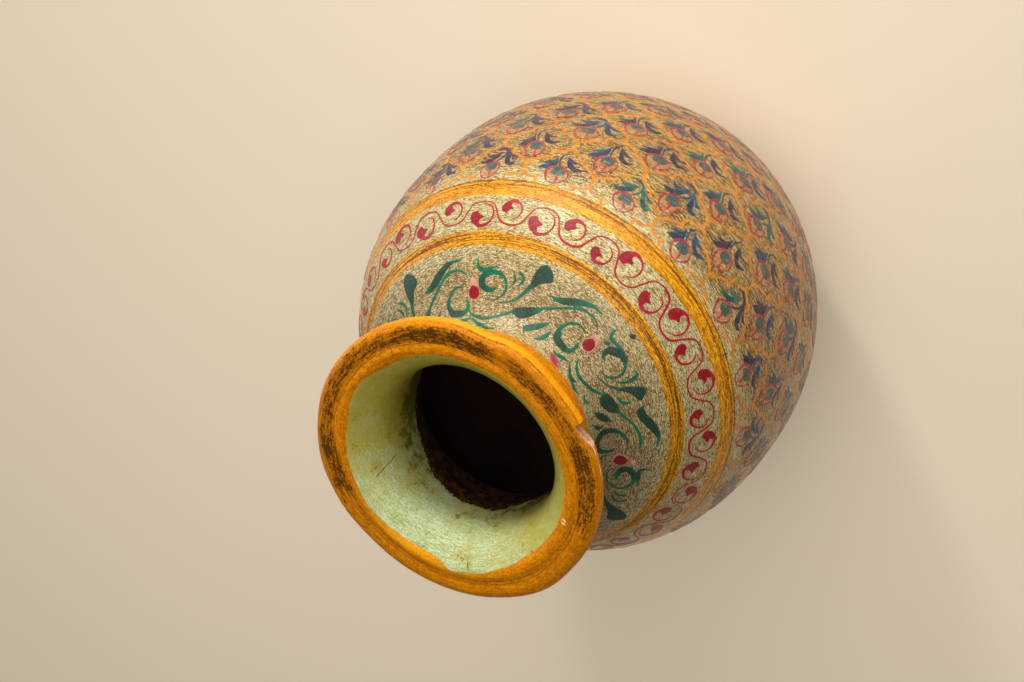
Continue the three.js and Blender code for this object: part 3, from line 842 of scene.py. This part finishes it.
def lip_colours(sh, worn, stain_and_shade, speck):
    """Mottled orange, worn to dark brown round its face, with painted highlight in bright gold on its inner
    land where the mouth is clean and lit, and on its outer edge where it faces the lamps.
    """
    mottle = sh.add(sh.times(sh.clouds(1.8, 5.0, 0.75), 0.5), sh.times(sh.strokes(6, 1.0, 4.0, 0.7, 5), 0.5))
    streak = sh.strokes(26, 0.7, 3.0, 0.6, 40)
    colour = sh.mix(sh.ramp(mottle, 0.4, 0.6), paint("BC6C00"), paint("EA9000"))
    outer = sh.ramp(sh.run, GROOVE_RUN - 1, EDGE_START, 0.0, 0.12)
    colour = sh.mix(sh.add(sh.ramp(streak, 0.5, 0.68, 0.0, 0.4), outer), colour, paint("9C5400"))
    # Painted highlight: bright gold on the inner land where the mouth is clean and lit, and on the outer
    # edge, where worn carries the share of painted highlight
    clean_and_lit = sh.scaled(stain_and_shade, -2.6, 1.0, clamp=True)
    inner = sh.times(sh.between(sh.level, FACE_INNER, FACE_INNER + 4.5, 2), clean_and_lit)
    edge = sh.times(sh.ramp(sh.run, EDGE_START + LIP_RADIUS, EDGE_START + LIP_RADIUS + 1), worn)
    colour = sh.mix(sh.times(sh.most(inner, sh.times(edge, 0.9)), 0.8), colour, paint("FAA802"))
    colour = sh.mix(sh.ramp(speck, 0.56, 0.68, 0.0, 0.5), colour, paint("F0A810"))
    colour = sh.mix(sh.ramp(speck, 0.46, 0.32, 0.0, 0.5), colour, paint("8A4C04"))
    dry = sh.times(sh.strokes(11, 1.0, 4.0, 0.72, 23), 0.65)
    dry = sh.add(dry, sh.times(sh.clouds(4, 5.0, 0.75, 0.4), 0.35))
    rubbed = sh.add(dry, sh.scaled(speck, 0.5, -0.25))
    face = sh.ramp(sh.run, EDGE_START + LIP_RADIUS, EDGE_START + LIP_RADIUS + 1, 0.27, 0.0)
    wear = sh.add(rubbed, sh.times(worn, face))
    colour = sh.mix(sh.ramp(wear, 0.6, 0.76, 0.0, 0.65), colour, paint("8A5004"))
    colour = sh.mix(sh.ramp(wear, 0.68, 0.77, 0.0, 0.9), colour, paint("4E2E04"))
    rings = sh.most(sh.between(sh.run, GROOVE_RUN - 0.1, GROOVE_RUN + 0.2, 0.15),
                    sh.between(sh.run, GROOVE_RUN + 1.7, GROOVE_RUN + 1.9, 0.12))
    return sh.mix(sh.times(rings, sh.ramp(streak, 0.4, 0.5, 0.0, 0.75)), colour, paint("6A3A02")), rubbed


def mouth_colours(sh, stain_and_shade, speck):
    """Pale green brushed inside the mouth, and its brush marks: olive and darker towards the throat and away
    from the lamps, partly stain, dirt and mould, partly painted shade.
    """
    streak = sh.strokes(7, 0.5, 3.0, 0.65, 90, 1.0)
    bristle = sh.add(sh.times(streak, 0.5), sh.times(sh.noise(sh.spot, 1500, 3.0, 0.7), 0.5))
    # Partly painted shade: the green turns olive deeper in the mouth and on the side turned from the lamps
    deep = sh.ramp(sh.run, FLARE_FOOT + 8, FLARE_FOOT - 20)
    grime = sh.clouds(12, 6.0, 0.75)
    olive_stain_and_shade = sh.add(sh.times(stain_and_shade, 0.5), sh.times(deep, 0.12))
    colour = sh.mix(sh.ramp(bristle, 0.41, 0.59), paint("949E54"), paint("C8D4AA"))
    colour = sh.mix(sh.ramp(sh.add(grime, olive_stain_and_shade), 0.5, 1.0), colour, paint("B2A23A"))
    # Partly painted shade: darker still towards the throat on that side, along with dirt and mould
    low = sh.times(sh.ramp(sh.level, THROAT_END + 30, THROAT_END + 4), stain_and_shade)
    dirt_and_throat_shade = sh.add(sh.times(bristle, 0.5), sh.times(sh.clouds(6, 6.0, 0.8, 0.5), 0.9))
    dirt_and_throat_shade = sh.add(dirt_and_throat_shade, sh.times(low, 0.4))
    colour = sh.mix(sh.ramp(dirt_and_throat_shade, 0.78, 0.92, 0.0, 0.85), colour, paint("4E480E"))
    mould_and_throat_shade = sh.add(sh.add(sh.times(speck, 0.7), sh.times(grime, 0.8)), sh.times(low, 0.12))
    colour = sh.mix(sh.ramp(mould_and_throat_shade, 0.85, 1.0, 0.0, 0.8), colour, paint("4E3E0E"))
    smear = sh.ramp(sh.clouds(8, 3.0, 0.6, 0.8), 0.7, 0.76, 0.0, 0.85)
    return sh.mix(smear, colour, paint("B8881A")), bristle


def throat_colours(sh, colour, speck):
    """The colours so far, with bare brown clay below the torn edge of the green, painted shade that darkens
    it to near black deeper in the throat, and the clay's share.
    """
    torn = sh.add(sh.level, sh.scaled(sh.clouds(5, 6.0, 0.85), 12, -6))
    brown = sh.ramp(torn, THROAT_END + 0.1, THROAT_END + 0.4, 1.0, 0.0)
    earth = sh.mix(sh.ramp(sh.clouds(4, 4.0, 0.7), 0.42, 0.62), paint("241006"), paint("603812"))
    colour = sh.mix(brown, colour, earth)
    # Painted shade: the bare clay darkens to near black deeper in the throat
    depths = sh.add(sh.run, sh.scaled(sh.clouds(9, 3.0), 12, -6))
    shade = sh.times(brown, sh.ramp(depths, THROAT_END + 15, THROAT_END + 6, 0.0, 0.6))
    colour = sh.mix(shade, colour, paint("100702"))
    along_edge = sh.between(torn, THROAT_END - 1.6, THROAT_END + 0.5, 0.4)
    flecks = sh.times(along_edge, sh.ramp(speck, 0.6, 0.68, 0.0, 0.8))
    return sh.mix(flecks, colour, paint("CFCBA4")), brown


def painted_clay():
    """The whole painted surface, split into its zones by the distance along the profile."""
    sh = Shader("painted_clay")
    # worn holds the wear of the lip's face and, on its outer edge, the painted highlight; the other share is
    # olive stain with painted shade in the mouth
    worn, stain_and_shade = sh.pair("age")
    ragged = sh.strokes(9, 2.2, 3.0, 0.65, 11)
    level = sh.add(sh.level, sh.scaled(ragged, 2.2, -1.1))
    speck = sh.noise(sh.spot, 900, 3.0, 0.65)

    ground, fleck = ground_colours(sh)
    band = sh.between(level, *UPPER_BAND, 0.2)
    for other_band in (LOWER_BAND, FOOT_BAND):
        band = sh.most(band, sh.between(level, *other_band, 0.2))
    colour = sh.mix(band, ground, band_colours(sh, fleck, level))

    lip = sh.ramp(level, NECK_PAINT_END - 0.3, NECK_PAINT_END + 0.3, 1.0, 0.0)
    lip_colour, rubbed = lip_colours(sh, worn, stain_and_shade, speck)
    colour = sh.mix(lip, colour, lip_colour)
    neck_end = sh.between(level, NECK_PAINT_END - 5, NECK_PAINT_END + 1, 1.5)
    scuffed = sh.times(neck_end, sh.ramp(rubbed, 0.6, 0.66))
    colour = sh.mix(sh.times(scuffed, 0.8), colour, paint("D9A87C"))

    green_wave = sh.add(sh.level, sh.scaled(sh.clouds(5, 3.0), 1.6, -0.8))
    green = sh.ramp(green_wave, FACE_INNER - 0.2, FACE_INNER + 0.2, 1.0, 0.0)
    mouth_colour, bristle = mouth_colours(sh, stain_and_shade, speck)
    colour, brown = throat_colours(sh, sh.mix(green, colour, mouth_colour), speck)

    bare = sh.ramp(sh.add(sh.level, sh.times(ragged, 3)), BASE_CLAY_START, BASE_CLAY_START + 2)
    foot_clay = sh.mix(sh.ramp(sh.clouds(5, 5.0, 0.7), 0.4, 0.62), paint("7E4A2A"), paint("A36C46"))
    colour = sh.mix(bare, colour, foot_clay)

    dull = sh.most(brown, bare)
    rough = sh.add(sh.ramp(dull, 0, 1, 0.42, 0.85), sh.scaled(speck, 0.2, -0.1))
    inside = sh.add(sh.times(bristle, 0.8), sh.times(sh.most(brown, 0.3), speck))
    relief = sh.add(sh.times(inside, green), sh.times(fleck, sh.rest(green)))
    outer_gloss = sh.ramp(sh.run, -4, 1, 0.1, VARNISH_WEIGHT)
    gloss = sh.add(outer_gloss, sh.ramp(sh.run, FACE_INNER - 1, FACE_INNER - 4, 0.0, 0.3))
    gilt = sh.times(sh.rest(sh.most(lip, dull)), GILT)
    return sh.varnished(colour, rough, relief, sh.times(sh.ramp(dull, 0, 1, 1.0, 0.0), gloss), gilt)


def stroke_paint(name, thin, thick, veil, worn):
    """Thin brushed paint: darker where it pools, letting some of the ground's grain through."""
    sh = Shader(name)
    ground, fleck = ground_colours(sh)
    from_edge, along = sh.pair("stroke")
    depth = sh.times(from_edge, STROKE_UNIT)
    along = sh.times(along, PLACE_UNIT)
    wide, load = sh.pair("load")
    wide = sh.times(wide, STROKE_UNIT)
    mottle = sh.add(sh.clouds(6, 3.0, 0.6), sh.times(load, 0.3))
    lines = sh.node("ShaderNodeCombineXYZ", inputs=(sh.times(depth, 3.0), sh.times(along, 0.25), 0.0))
    hairs = sh.noise(lines.outputs[0], 1.0, 2.0, 0.6)
    pool = sh.ramp(sh.add(wide, sh.scaled(mottle, 5, -3.2)), 0.8, 4.2)
    colour = sh.mix(pool, paint(thin), paint(thick))
    colour = sh.mix(sh.ramp(hairs, 0.45, 0.7, 0.0, 0.3), colour, paint(thin))
    thin_edge = sh.ramp(depth, 0.0, 0.12, min(0.3, 2.5 * veil), 0.0)
    shows = sh.add(sh.ramp(fleck, 0.55, 0.66, 0.0, veil), thin_edge)
    patchy = sh.ramp(sh.clouds(4, 3.0, 0.65), 0.42, 0.62, 0.0, worn)
    colour = sh.mix(sh.math("ADD", shows, patchy, clamp=True), colour, ground)
    return sh.varnished(colour, 0.5, sh.add(fleck, sh.times(hairs, 0.3)))


def inner_clay():
    sh = Shader("inner_clay")
    rings = sh.strokes(60, 2.4, 3.0, 0.6)
    soot = sh.clouds(30, 4.0, 0.6)
    colour = sh.mix(sh.ramp(rings, 0.35, 0.65), paint("3B1E0E"), paint("57301A"))
    colour = sh.mix(sh.ramp(soot, 0.4, 0.7, 0.0, 0.7), colour, paint("1E100A"))
    height = sh.add(rings, sh.times(sh.clouds(3, 4.0, 0.65), 0.5))
    return sh.finish(colour, 0.9, sh.bump(height, 0.5))


def fresh_clay():
    """The broken face of the chip, with a painted highlight in cream along its top edge."""
    sh = Shader("fresh_clay")
    fine = sh.clouds(1.6, 4.0, 0.7)
    colour = sh.mix(sh.ramp(fine, 0.35, 0.65), paint("A8765C"), paint("D0A488"))
    height = sh.node("ShaderNodeSeparateXYZ", Vector=sh.spot).outputs["Z"]
    # Painted highlight: cream along the top edge of the broken face
    painted_rim_highlight = sh.ramp(height, (MOUTH_TOP - 2.6) * MM, (MOUTH_TOP - 1.4) * MM)
    colour = sh.mix(painted_rim_highlight, colour, paint("F2CFA0"))
    return sh.finish(colour, 0.85, sh.bump(fine, 0.3))


# The five clay sections


def chipped(directions, run, row):
    """Cuts the lip's edge back to the chip's face: sharp at its start and running out along the edge."""
    if not FACE_INNER < run < WAIST_OUTSIDE:
        return row, np.zeros(len(directions), bool)
    away = (CHIP_START - directions) / CHIP_SWEEP
    radius = np.hypot(row[:, 0], row[:, 1])
    bite = (1 - np.clip(away, 0, 1) ** CHIP_EASE) * (1 + CHIP_RIPPLE * np.sin(directions * CHIP_RIPPLES))
    limit = MOUTH_RADIUS - bite * (CHIP_DEPTH + (MOUTH_TOP - row[:, 2]) * CHIP_UNDERCUT)
    cut = (away >= 0) & (away < 1) & (limit < radius)
    moved = row.copy()
    moved[:, :2] *= np.where(cut, limit / radius, 1)[:, None]
    return moved, cut


def even_directions(count, fine=()):
    """Directions round the pot, with extra ones between the two of fine."""
    turns = set(np.round(np.arange(count) * 360 / count - 180, 4))
    if fine:
        turns |= set(np.round(np.arange(fine[0], fine[1], FINE_TURN), 4))
    return np.array(sorted(turns))


def inside_rows(end):
    """Points on the hidden inside of a bowl, from the widest ring to its end, closer together there."""
    heights = BELLY_HEIGHT + (end - BELLY_HEIGHT) * np.sin(np.linspace(0, math.pi / 2, BOWL_ROWS))
    return [(float(body_radius(height, WALL)), height) for height in heights]


def section_rows():
    """The rows of each section, along its painted surface and then over its hidden faces, and its slot."""
    spread = OPENING_RADIUS + FILLET_REACH
    spread_height = shoulder_height(spread, WALL)
    opening = bezier((OPENING_RADIUS, NECK_SEAM), (OPENING_RADIUS, (NECK_SEAM + spread_height) / 2),
                     (spread, spread_height))[::CURVE_POINTS // OPENING_ROWS]
    shoulder_inside = inside_rows(opening[-1][1]) + [tuple(point) for point in opening[::-1]]
    lower_inside = inside_rows(BASE_SEAM)[::-1]
    base_radius = float(body_radius(BASE_SEAM, WALL))
    pinch = run_at_radius(CAP_RADIUS, GROUND_RUN, profile_run[-1])
    flare_rows = painted(FLARE_FOOT, UNDERSIDE_END, LIP_STEP)[1:]
    flare_rows = flare_rows + painted(UNDERSIDE_END, WAIST_OUTSIDE)[1:]
    return {
        "flared_mouth": (painted(WAIST_INSIDE, FLARE_FOOT) + flare_rows, "mouth_paint"),
        "neck_collar": (painted(THROAT_END, WAIST_INSIDE) + painted(WAIST_OUTSIDE, NECK_SEAM_RUN),
                        "mouth_paint"),
        "shoulder_bowl": (painted(NECK_SEAM_RUN, BELLY_RUN) + hidden(shoulder_inside), "painted_body"),
        "lower_bowl": (painted(BELLY_RUN, BASE_SEAM_RUN) + hidden(lower_inside), "painted_body"),
        "base_disc": (hidden([(CAP_RADIUS, BASE_SEAM), (base_radius, BASE_SEAM)])
                      + painted(BASE_SEAM_RUN, pinch), "bare_clay"),
    }


def build_sections():
    """The five sections of the real pot, each in place of its CAD node."""
    turns = even_directions(TURNS)
    chip_turns = even_directions(TURNS, (CHIP_START - CHIP_SWEEP - 2, CHIP_START + 2))
    finishes = [painted_clay(), inner_clay(), fresh_clay()]
    for name, (rows, slot) in section_rows().items():
        lip = name == "flared_mouth"
        piece = skin(name + "_skin", rows, chip_turns if lip else turns, finishes, name == "base_disc",
                     chipped if lip else None)
        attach(piece, "root")
        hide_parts(name)


# Painted ornament: places are (direction in degrees, distance along the profile in mm)


def drawn_line(points):
    """A smooth line through listed points, at even steps."""
    points = np.array(points, float)
    padded = np.vstack([2 * points[0] - points[1], points, 2 * points[-1] - points[-2]])
    share = np.linspace(0, 1, LINE_SAMPLES, endpoint=False)[:, None]
    pieces = []
    for a, b, c, d in zip(padded, padded[1:], padded[2:], padded[3:]):
        bend = (2 * b, c - a, 2 * a - 5 * b + 4 * c - d, 3 * b - a - 3 * c + d)
        pieces.append(0.5 * (bend[0] + bend[1] * share + bend[2] * share ** 2 + bend[3] * share ** 3))
    line = np.vstack(pieces + [points[-1:]])
    run = line_run(line)
    count = max(3, int(run[-1] / STROKE_STEP) + 1)
    even = np.linspace(0, run[-1], count)
    return np.stack([np.interp(even, run, line[:, side]) for side in (0, 1)], 1)


def degree_length(level):
    """Length in mm of one degree round the pot at a level."""
    return np.interp(level, profile_run, profile[:, 0]) * math.pi / 180


def line_run(line):
    wide = np.diff(line[:, 0]) * degree_length((line[1:, 1] + line[:-1, 1]) / 2)
    return np.concatenate([[0], np.cumsum(np.hypot(wide, np.diff(line[:, 1])))])


class Painting:
    """Brush strokes of one paint, gathered into one piece of thin closed bodies that lie on the pot."""

    def __init__(self, name):
        *paint_settings, coat = PAINTS[name]
        self.name, self.material, self.lift = name, stroke_paint(*paint_settings), coat * COAT_STEP
        self.points, self.faces, self.places, self.strokes, self.loads = [], [], [], [], []
        self.count = 0

    def blade(self, left, right):
        """A stroke between two edges, each a line of as many places."""
        count = len(left)
        wide = right - left
        width = np.hypot(wide[:, 0] * degree_length((left[:, 1] + right[:, 1]) / 2), wide[:, 1])
        across = 2 * int(np.clip(round(width.max() / STROKE_COLUMN), 1, MOST_COLUMNS))
        part = np.linspace(0, 1, across + 1)
        place = left[:, None, :] + wide[:, None, :] * part[None, :, None]
        run = place[..., 1] + band_tilt(place[..., 0], place[..., 1])
        crown = self.lift + PAINT_EDGE + (PAINT_CROWN - PAINT_EDGE) * (1 - (2 * part - 1) ** 2)
        top = surface(place[..., 0], run, crown[None, :])
        under = surface(place[..., 0], run, -PAINT_ROOT)
        grid = self.count + np.arange(count * (across + 1)).reshape(count, across + 1)
        deep = grid + grid.size
        for layer, turned in ((grid, False), (deep, True)):
            quads = np.stack([layer[:-1, :-1], layer[:-1, 1:], layer[1:, 1:], layer[1:, :-1]], -1)
            quads = quads.reshape(-1, 4)
            self.faces.append(quads[:, ::-1] if turned else quads)
        for upper, lower in ((grid[::-1, 0], deep[::-1, 0]), (grid[:, -1], deep[:, -1]),
                             (grid[0], deep[0]), (grid[-1, ::-1], deep[-1, ::-1])):
            self.faces.append(np.stack([upper[:-1], lower[:-1], lower[1:], upper[1:]], -1))
        edge = np.minimum(part, 1 - part)[None, :] * width[:, None]
        along = line_run((left + right) / 2)[:, None] + hand.uniform(0, HAIR_SHIFT) + 0 * part
        paint_load = np.full(place.shape[:2], hand.random())
        load = np.stack([width[:, None] / STROKE_UNIT + 0 * part, paint_load], -1)
        for layer in (top, under):
            self.points.append(layer.reshape(-1, 3))
            self.places.append(np.stack([run, place[..., 1]], -1).reshape(-1, 2) / PLACE_UNIT)
            self.strokes.append(np.stack([edge / STROKE_UNIT, along / PLACE_UNIT], -1).reshape(-1, 2))
            self.loads.append(load.reshape(-1, 2))
        self.count += 2 * grid.size

    def stroke(self, points, widths):
        """A stroke along a line of places, with its widths in mm spread evenly along it."""
        line = drawn_line(points)
        share = np.linspace(0, 1, len(line))
        half = np.interp(share, np.linspace(0, 1, len(widths)), widths) / 2
        half *= 1 + STROKE_SWELL * np.sin(share * hand.uniform(*SWELL_RATES) + hand.uniform(*SWELL_STARTS))
        scale = degree_length(line[:, 1])
        step = np.gradient(line, axis=0) * np.stack([scale, np.ones(len(line))], 1)
        step /= np.maximum(np.hypot(*step.T), TINY)[:, None]
        side = np.stack([-step[:, 1] / scale, step[:, 0]], 1) * half[:, None]
        self.blade(line + side, line - side)

    def shape(self, left, right, fullness=1.0):
        """A leaf or petal between two listed edges that meet at its ends."""
        left, right = drawn_line(left), drawn_line(right)
        share = np.linspace(0, 1, max(len(left), len(right)))
        left, right = (np.stack([np.interp(share, np.linspace(0, 1, len(line)), line[:, side])
                                 for side in (0, 1)], 1) for line in (left, right))
        middle = (left + right) / 2
        self.blade(middle + (left - middle) * fullness, middle + (right - middle) * fullness)

    def lay(self):
        maps = {"place": self.places, "stroke": self.strokes, "load": self.loads}
        maps = {name: np.vstack(values) for name, values in maps.items()}
        faces = np.vstack(self.faces).tolist()
        piece = mesh_object(self.name, np.vstack(self.points), faces, maps, [self.material])
        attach(piece, "root")


def shifted(points, turn=0.0, sway=0.0):
    """Listed points turned round the pot, each a little off, as a hand would place them."""
    return [(a + turn + hand.uniform(-sway, sway), b + hand.uniform(-sway, sway)) for a, b in points]


def paint_arabesque(green, red, blush, halo):
    """The scrolling leaf motif, painted six times round the shoulder."""
    for repeat in range(ARABESQUE_COUNT):
        turn = repeat * 360 / ARABESQUE_COUNT
        twin = repeat in TWIN_REPEATS
        for points, widths in SHARED_STROKES + (TWIN_STROKES if twin else FIRST_STROKES):
            green.stroke(shifted(points, turn, SCROLL_SWAY), widths)
        for left, right in TWIN_LEAVES if twin else FIRST_LEAVES:
            green.shape(shifted(left, turn), shifted(right, turn))
        halo.shape(*(shifted(edge, turn) for edge in BERRY_HALO))
        red.shape(*(shifted(edge, turn, BERRY_SWAY) for edge in BERRY))
        blush.shape(*(shifted(edge, turn) for edge in BLUSH_PETAL))


def vine_wave(pitch):
    """The vine's line once round the pot, with bends that swing a little differently."""
    reaches = [VINE_SWING * hand.uniform(*VINE_SWINGS) for _ in range(2 * VINE_COUNT)]
    wave = []
    for step in range(VINE_COUNT * VINE_STEPS + 1):
        phase = step / VINE_STEPS
        bend = (step + VINE_STEPS // 4) // (VINE_STEPS // 2)
        swing = math.cos(2 * math.pi * phase)
        drop = reaches[bend % len(reaches)] * math.copysign(abs(swing) ** VINE_ROUNDNESS, swing)
        lean = VINE_LEAN * math.sin(4 * math.pi * phase)
        wave.append((VINE_START + pitch * phase + lean, VINE_LEVEL + drop))
    return wave


def paint_vine(red):
    """The waving vine between the bands, with a curled drop in each bend."""
    pitch = 360 / VINE_COUNT
    wave = vine_wave(pitch)
    for start in range(0, VINE_COUNT * VINE_STEPS, VINE_PART):
        part = wave[start:start + VINE_PART + 1]
        red.stroke(part, [hand.uniform(*VINE_WIDTHS) for _ in part[::VINE_WIDTH_STEP]])
    for repeat in range(VINE_COUNT):
        for side, half_way in ((1, 0), (-1, 0.52)):
            turn = VINE_START + pitch * (repeat + half_way) + hand.uniform(*CURL_TURNS)
            drop = hand.uniform(*CURL_DROPS)
            size = hand.uniform(*CURL_SIZES)

            def put(points):
                middle = VINE_CURL_MIDDLE
                return [(turn + a * size, VINE_LEVEL + side * (b - middle) * size + drop) for a, b in points]

            red.stroke(put(VINE_CURL[0]), VINE_CURL[1])
            red.shape(*(put(edge) for edge in VINE_DROP[::side]))


def blossom(paints, direction, level, size):
    """A bud with a dabbed heart over its leaves and stem."""
    red, fill, heart, leaves, stem_paint = paints
    lean = hand.uniform(*BLOSSOM_LEANS)
    width = hand.uniform(*BLOSSOM_WIDTHS)

    def put(points):
        moved = []
        for a, b in points:
            sway = hand.uniform(-BLOSSOM_SWAY, BLOSSOM_SWAY)
            moved.append((direction + a * width + lean * b + sway, level + b * size))
        return moved

    fill.shape(put(BUD_FILL[0]), put(BUD_FILL[1]))
    heart.shape(put(BUD_HEART[0]), put(BUD_HEART[1]))
    for points, widths in BUD_OUTLINES:
        red.stroke(put(points), widths)
    *sides, stem = hand.choices(BLOSSOM_LEAVES, weights=LEAF_WEIGHTS)[0]
    for side, leaf in zip(sides, leaves):
        for left, right in side:
            leaf.shape(put(left), put(right), LEAF_FULLNESS)
    stem_paint.stroke(put(stem[0]), stem[1])


def paint_net(line, direction, level, ring_step, size, next_size, first):
    """The net's cell round a blossom, with the bar on its right that it shares with its neighbour."""
    half = 180 / BLOSSOM_COUNT
    bar_top, bar_end = (ring_step - reach * next_size for reach in NET_BAR)
    for side in (-1, 1):
        def put(points):
            return shifted([(direction + side * a, level + b * size) for a, b in points], 0, NET_SWAY)

        for points, widths in (FIRST_NET_SIDE,) if first else (NET_ARCH, NET_SIDE):
            line.stroke(put(points), widths)
        lobe = put(FIRST_NET_LOBE if first else NET_LOBE_START)
        knot = shifted([(direction + side * half, level + bar_top + 1)], 0, NET_SWAY)
        line.stroke(lobe + knot, NET_LOBE_WIDTHS)
    bar = [(direction + half, level + end) for end in (bar_top, bar_end)]
    line.stroke(shifted(bar, 0, NET_SWAY), NET_BAR_WIDTHS)


def paint_belly(red, fill, heart, colours, line):
    """Rings of blossoms, half a pitch apart from one ring to the next, in a net of scalloped cells."""
    pitch = 360 / BLOSSOM_COUNT
    steps = np.diff(BLOSSOM_LEVELS + (2 * BLOSSOM_LEVELS[-1] - BLOSSOM_LEVELS[-2],))
    sizes = [min(1, step / FULL_RING_STEP) for step in steps]
    sizes.append(sizes[-1])
    for ring, (level, step) in enumerate(zip(BLOSSOM_LEVELS, steps)):
        for repeat in range(BLOSSOM_COUNT):
            turn = BLOSSOM_START + pitch * (repeat + ring % 2 / 2)
            leaves = [hand.choices(colours, weights=weights)[0] for weights in COLOUR_WEIGHTS]
            place = (turn + hand.uniform(*BLOSSOM_TURNS), level + hand.uniform(*BLOSSOM_DROPS) * sizes[ring])
            blossom((red, fill, heart, leaves, leaves[0]), *place, sizes[ring])
            paint_net(line, turn, level, step, sizes[ring], sizes[ring + 1], ring == 0)


def paint_knocks(painting, strokes, start):
    for points, widths in strokes:
        painting.stroke([(direction, start + drop) for direction, drop in points], widths)


def paint_ornament():
    """All the painting on the pot, one coat after the other."""
    paintings = [Painting(name) for name in PAINTS]
    green, red, blush, halo, fill, heart, navy, blue, teal, net, rose, scuffs, bruises = paintings
    paint_arabesque(green, red, blush, halo)
    paint_vine(red)
    paint_belly(rose, fill, heart, (navy, blue, teal), net)
    paint_knocks(scuffs, EDGE_SCUFFS, EDGE_START)
    paint_knocks(scuffs, FACE_BLISTERS, FACE_INNER)
    paint_knocks(bruises, HAIRLINES, FACE_INNER)
    bruises.shape(*BAND_KNOCK)
    bruises.stroke(*BAND_SCRATCH)
    for painting in paintings:
        painting.lay()


# Floor, light and camera


def lay_floor():
    bpy.ops.mesh.primitive_circle_add(vertices=128, radius=FLOOR_RADIUS, fill_type="NGON")
    floor = bpy.context.object
    floor.name = "floor"
    made = bpy.data.materials.new("pale_floor")
    made.use_nodes = True
    surface_node = made.node_tree.nodes["Principled BSDF"]
    surface_node.inputs["Base Color"].default_value = paint("E8D6BA")
    surface_node.inputs["Roughness"].default_value = 0.9
    surface_node.inputs["Emission Color"].default_value = paint("F6EAD6")
    path = made.node_tree.nodes.new("ShaderNodeLightPath")
    seen = path.outputs["Is Camera Ray"]
    for ray in ("Is Glossy Ray", "Is Transmission Ray"):
        either = made.node_tree.nodes.new("ShaderNodeMath")
        either.operation = "MAXIMUM"
        made.node_tree.links.new(seen, either.inputs[0])
        made.node_tree.links.new(path.outputs[ray], either.inputs[1])
        seen = either.outputs[0]
    strength = made.node_tree.nodes.new("ShaderNodeMath")
    strength.operation = "MULTIPLY"
    made.node_tree.links.new(seen, strength.inputs[0])
    strength.inputs[1].default_value = FLOOR_GLOW
    made.node_tree.links.new(strength.outputs[0], surface_node.inputs["Emission Strength"])
    floor.data.materials.append(made)


def light_world():
    world = bpy.data.worlds.new("studio")
    bpy.context.scene.world = world
    world.use_nodes = True
    background = world.node_tree.nodes["Background"]
    background.inputs["Color"].default_value = paint("F6F1E8")
    background.inputs["Strength"].default_value = WORLD_STRENGTH


def softbox(name, direction, rise, distance, width, height, power, spread):
    """A rectangular lamp that faces the pot's shoulder. Its direction, rise and spread are in degrees."""
    turn, up = math.radians(direction), math.radians(rise)
    target = Vector((0, 0, LIGHT_TARGET_HEIGHT))
    away = Vector((math.cos(turn) * math.cos(up), math.sin(turn) * math.cos(up), math.sin(up)))
    data = bpy.data.lights.new(name, "AREA")
    data.shape, data.size, data.size_y = "RECTANGLE", width, height
    data.energy, data.spread = power, math.radians(spread)
    lamp = bpy.data.objects.new(name, data)
    lamp.location = target + away * distance
    lamp.rotation_euler = (-away).to_track_quat("-Z", "Y").to_euler()
    bpy.context.collection.objects.link(lamp)


def aim_camera():
    """The photo looks at the pot from above its side, turned so that the pot lies on its lip."""
    data = bpy.data.cameras.new("camera")
    data.sensor_width, data.lens = SENSOR_WIDTH, SENSOR_WIDTH * FOCAL_PIXELS / PICTURE_WIDTH
    camera = bpy.data.objects.new("camera", data)
    place, target = Vector(CAMERA_PLACE), Vector(CAMERA_TARGET)
    look = (target - place).to_track_quat("-Z", "Y").to_matrix().to_4x4()
    roll = Matrix.Rotation(math.radians(CAMERA_ROLL), 4, "Z")
    camera.matrix_world = Matrix.Translation(place) @ look @ roll
    bpy.context.collection.objects.link(camera)
    bpy.context.scene.camera = camera


build_sections()
paint_ornament()
lay_floor()
light_world()
for lamp_name, lamp_settings in LAMPS.items():
    softbox(lamp_name, *lamp_settings)
aim_camera()

scene = bpy.context.scene
scene.view_settings.view_transform = "Standard"
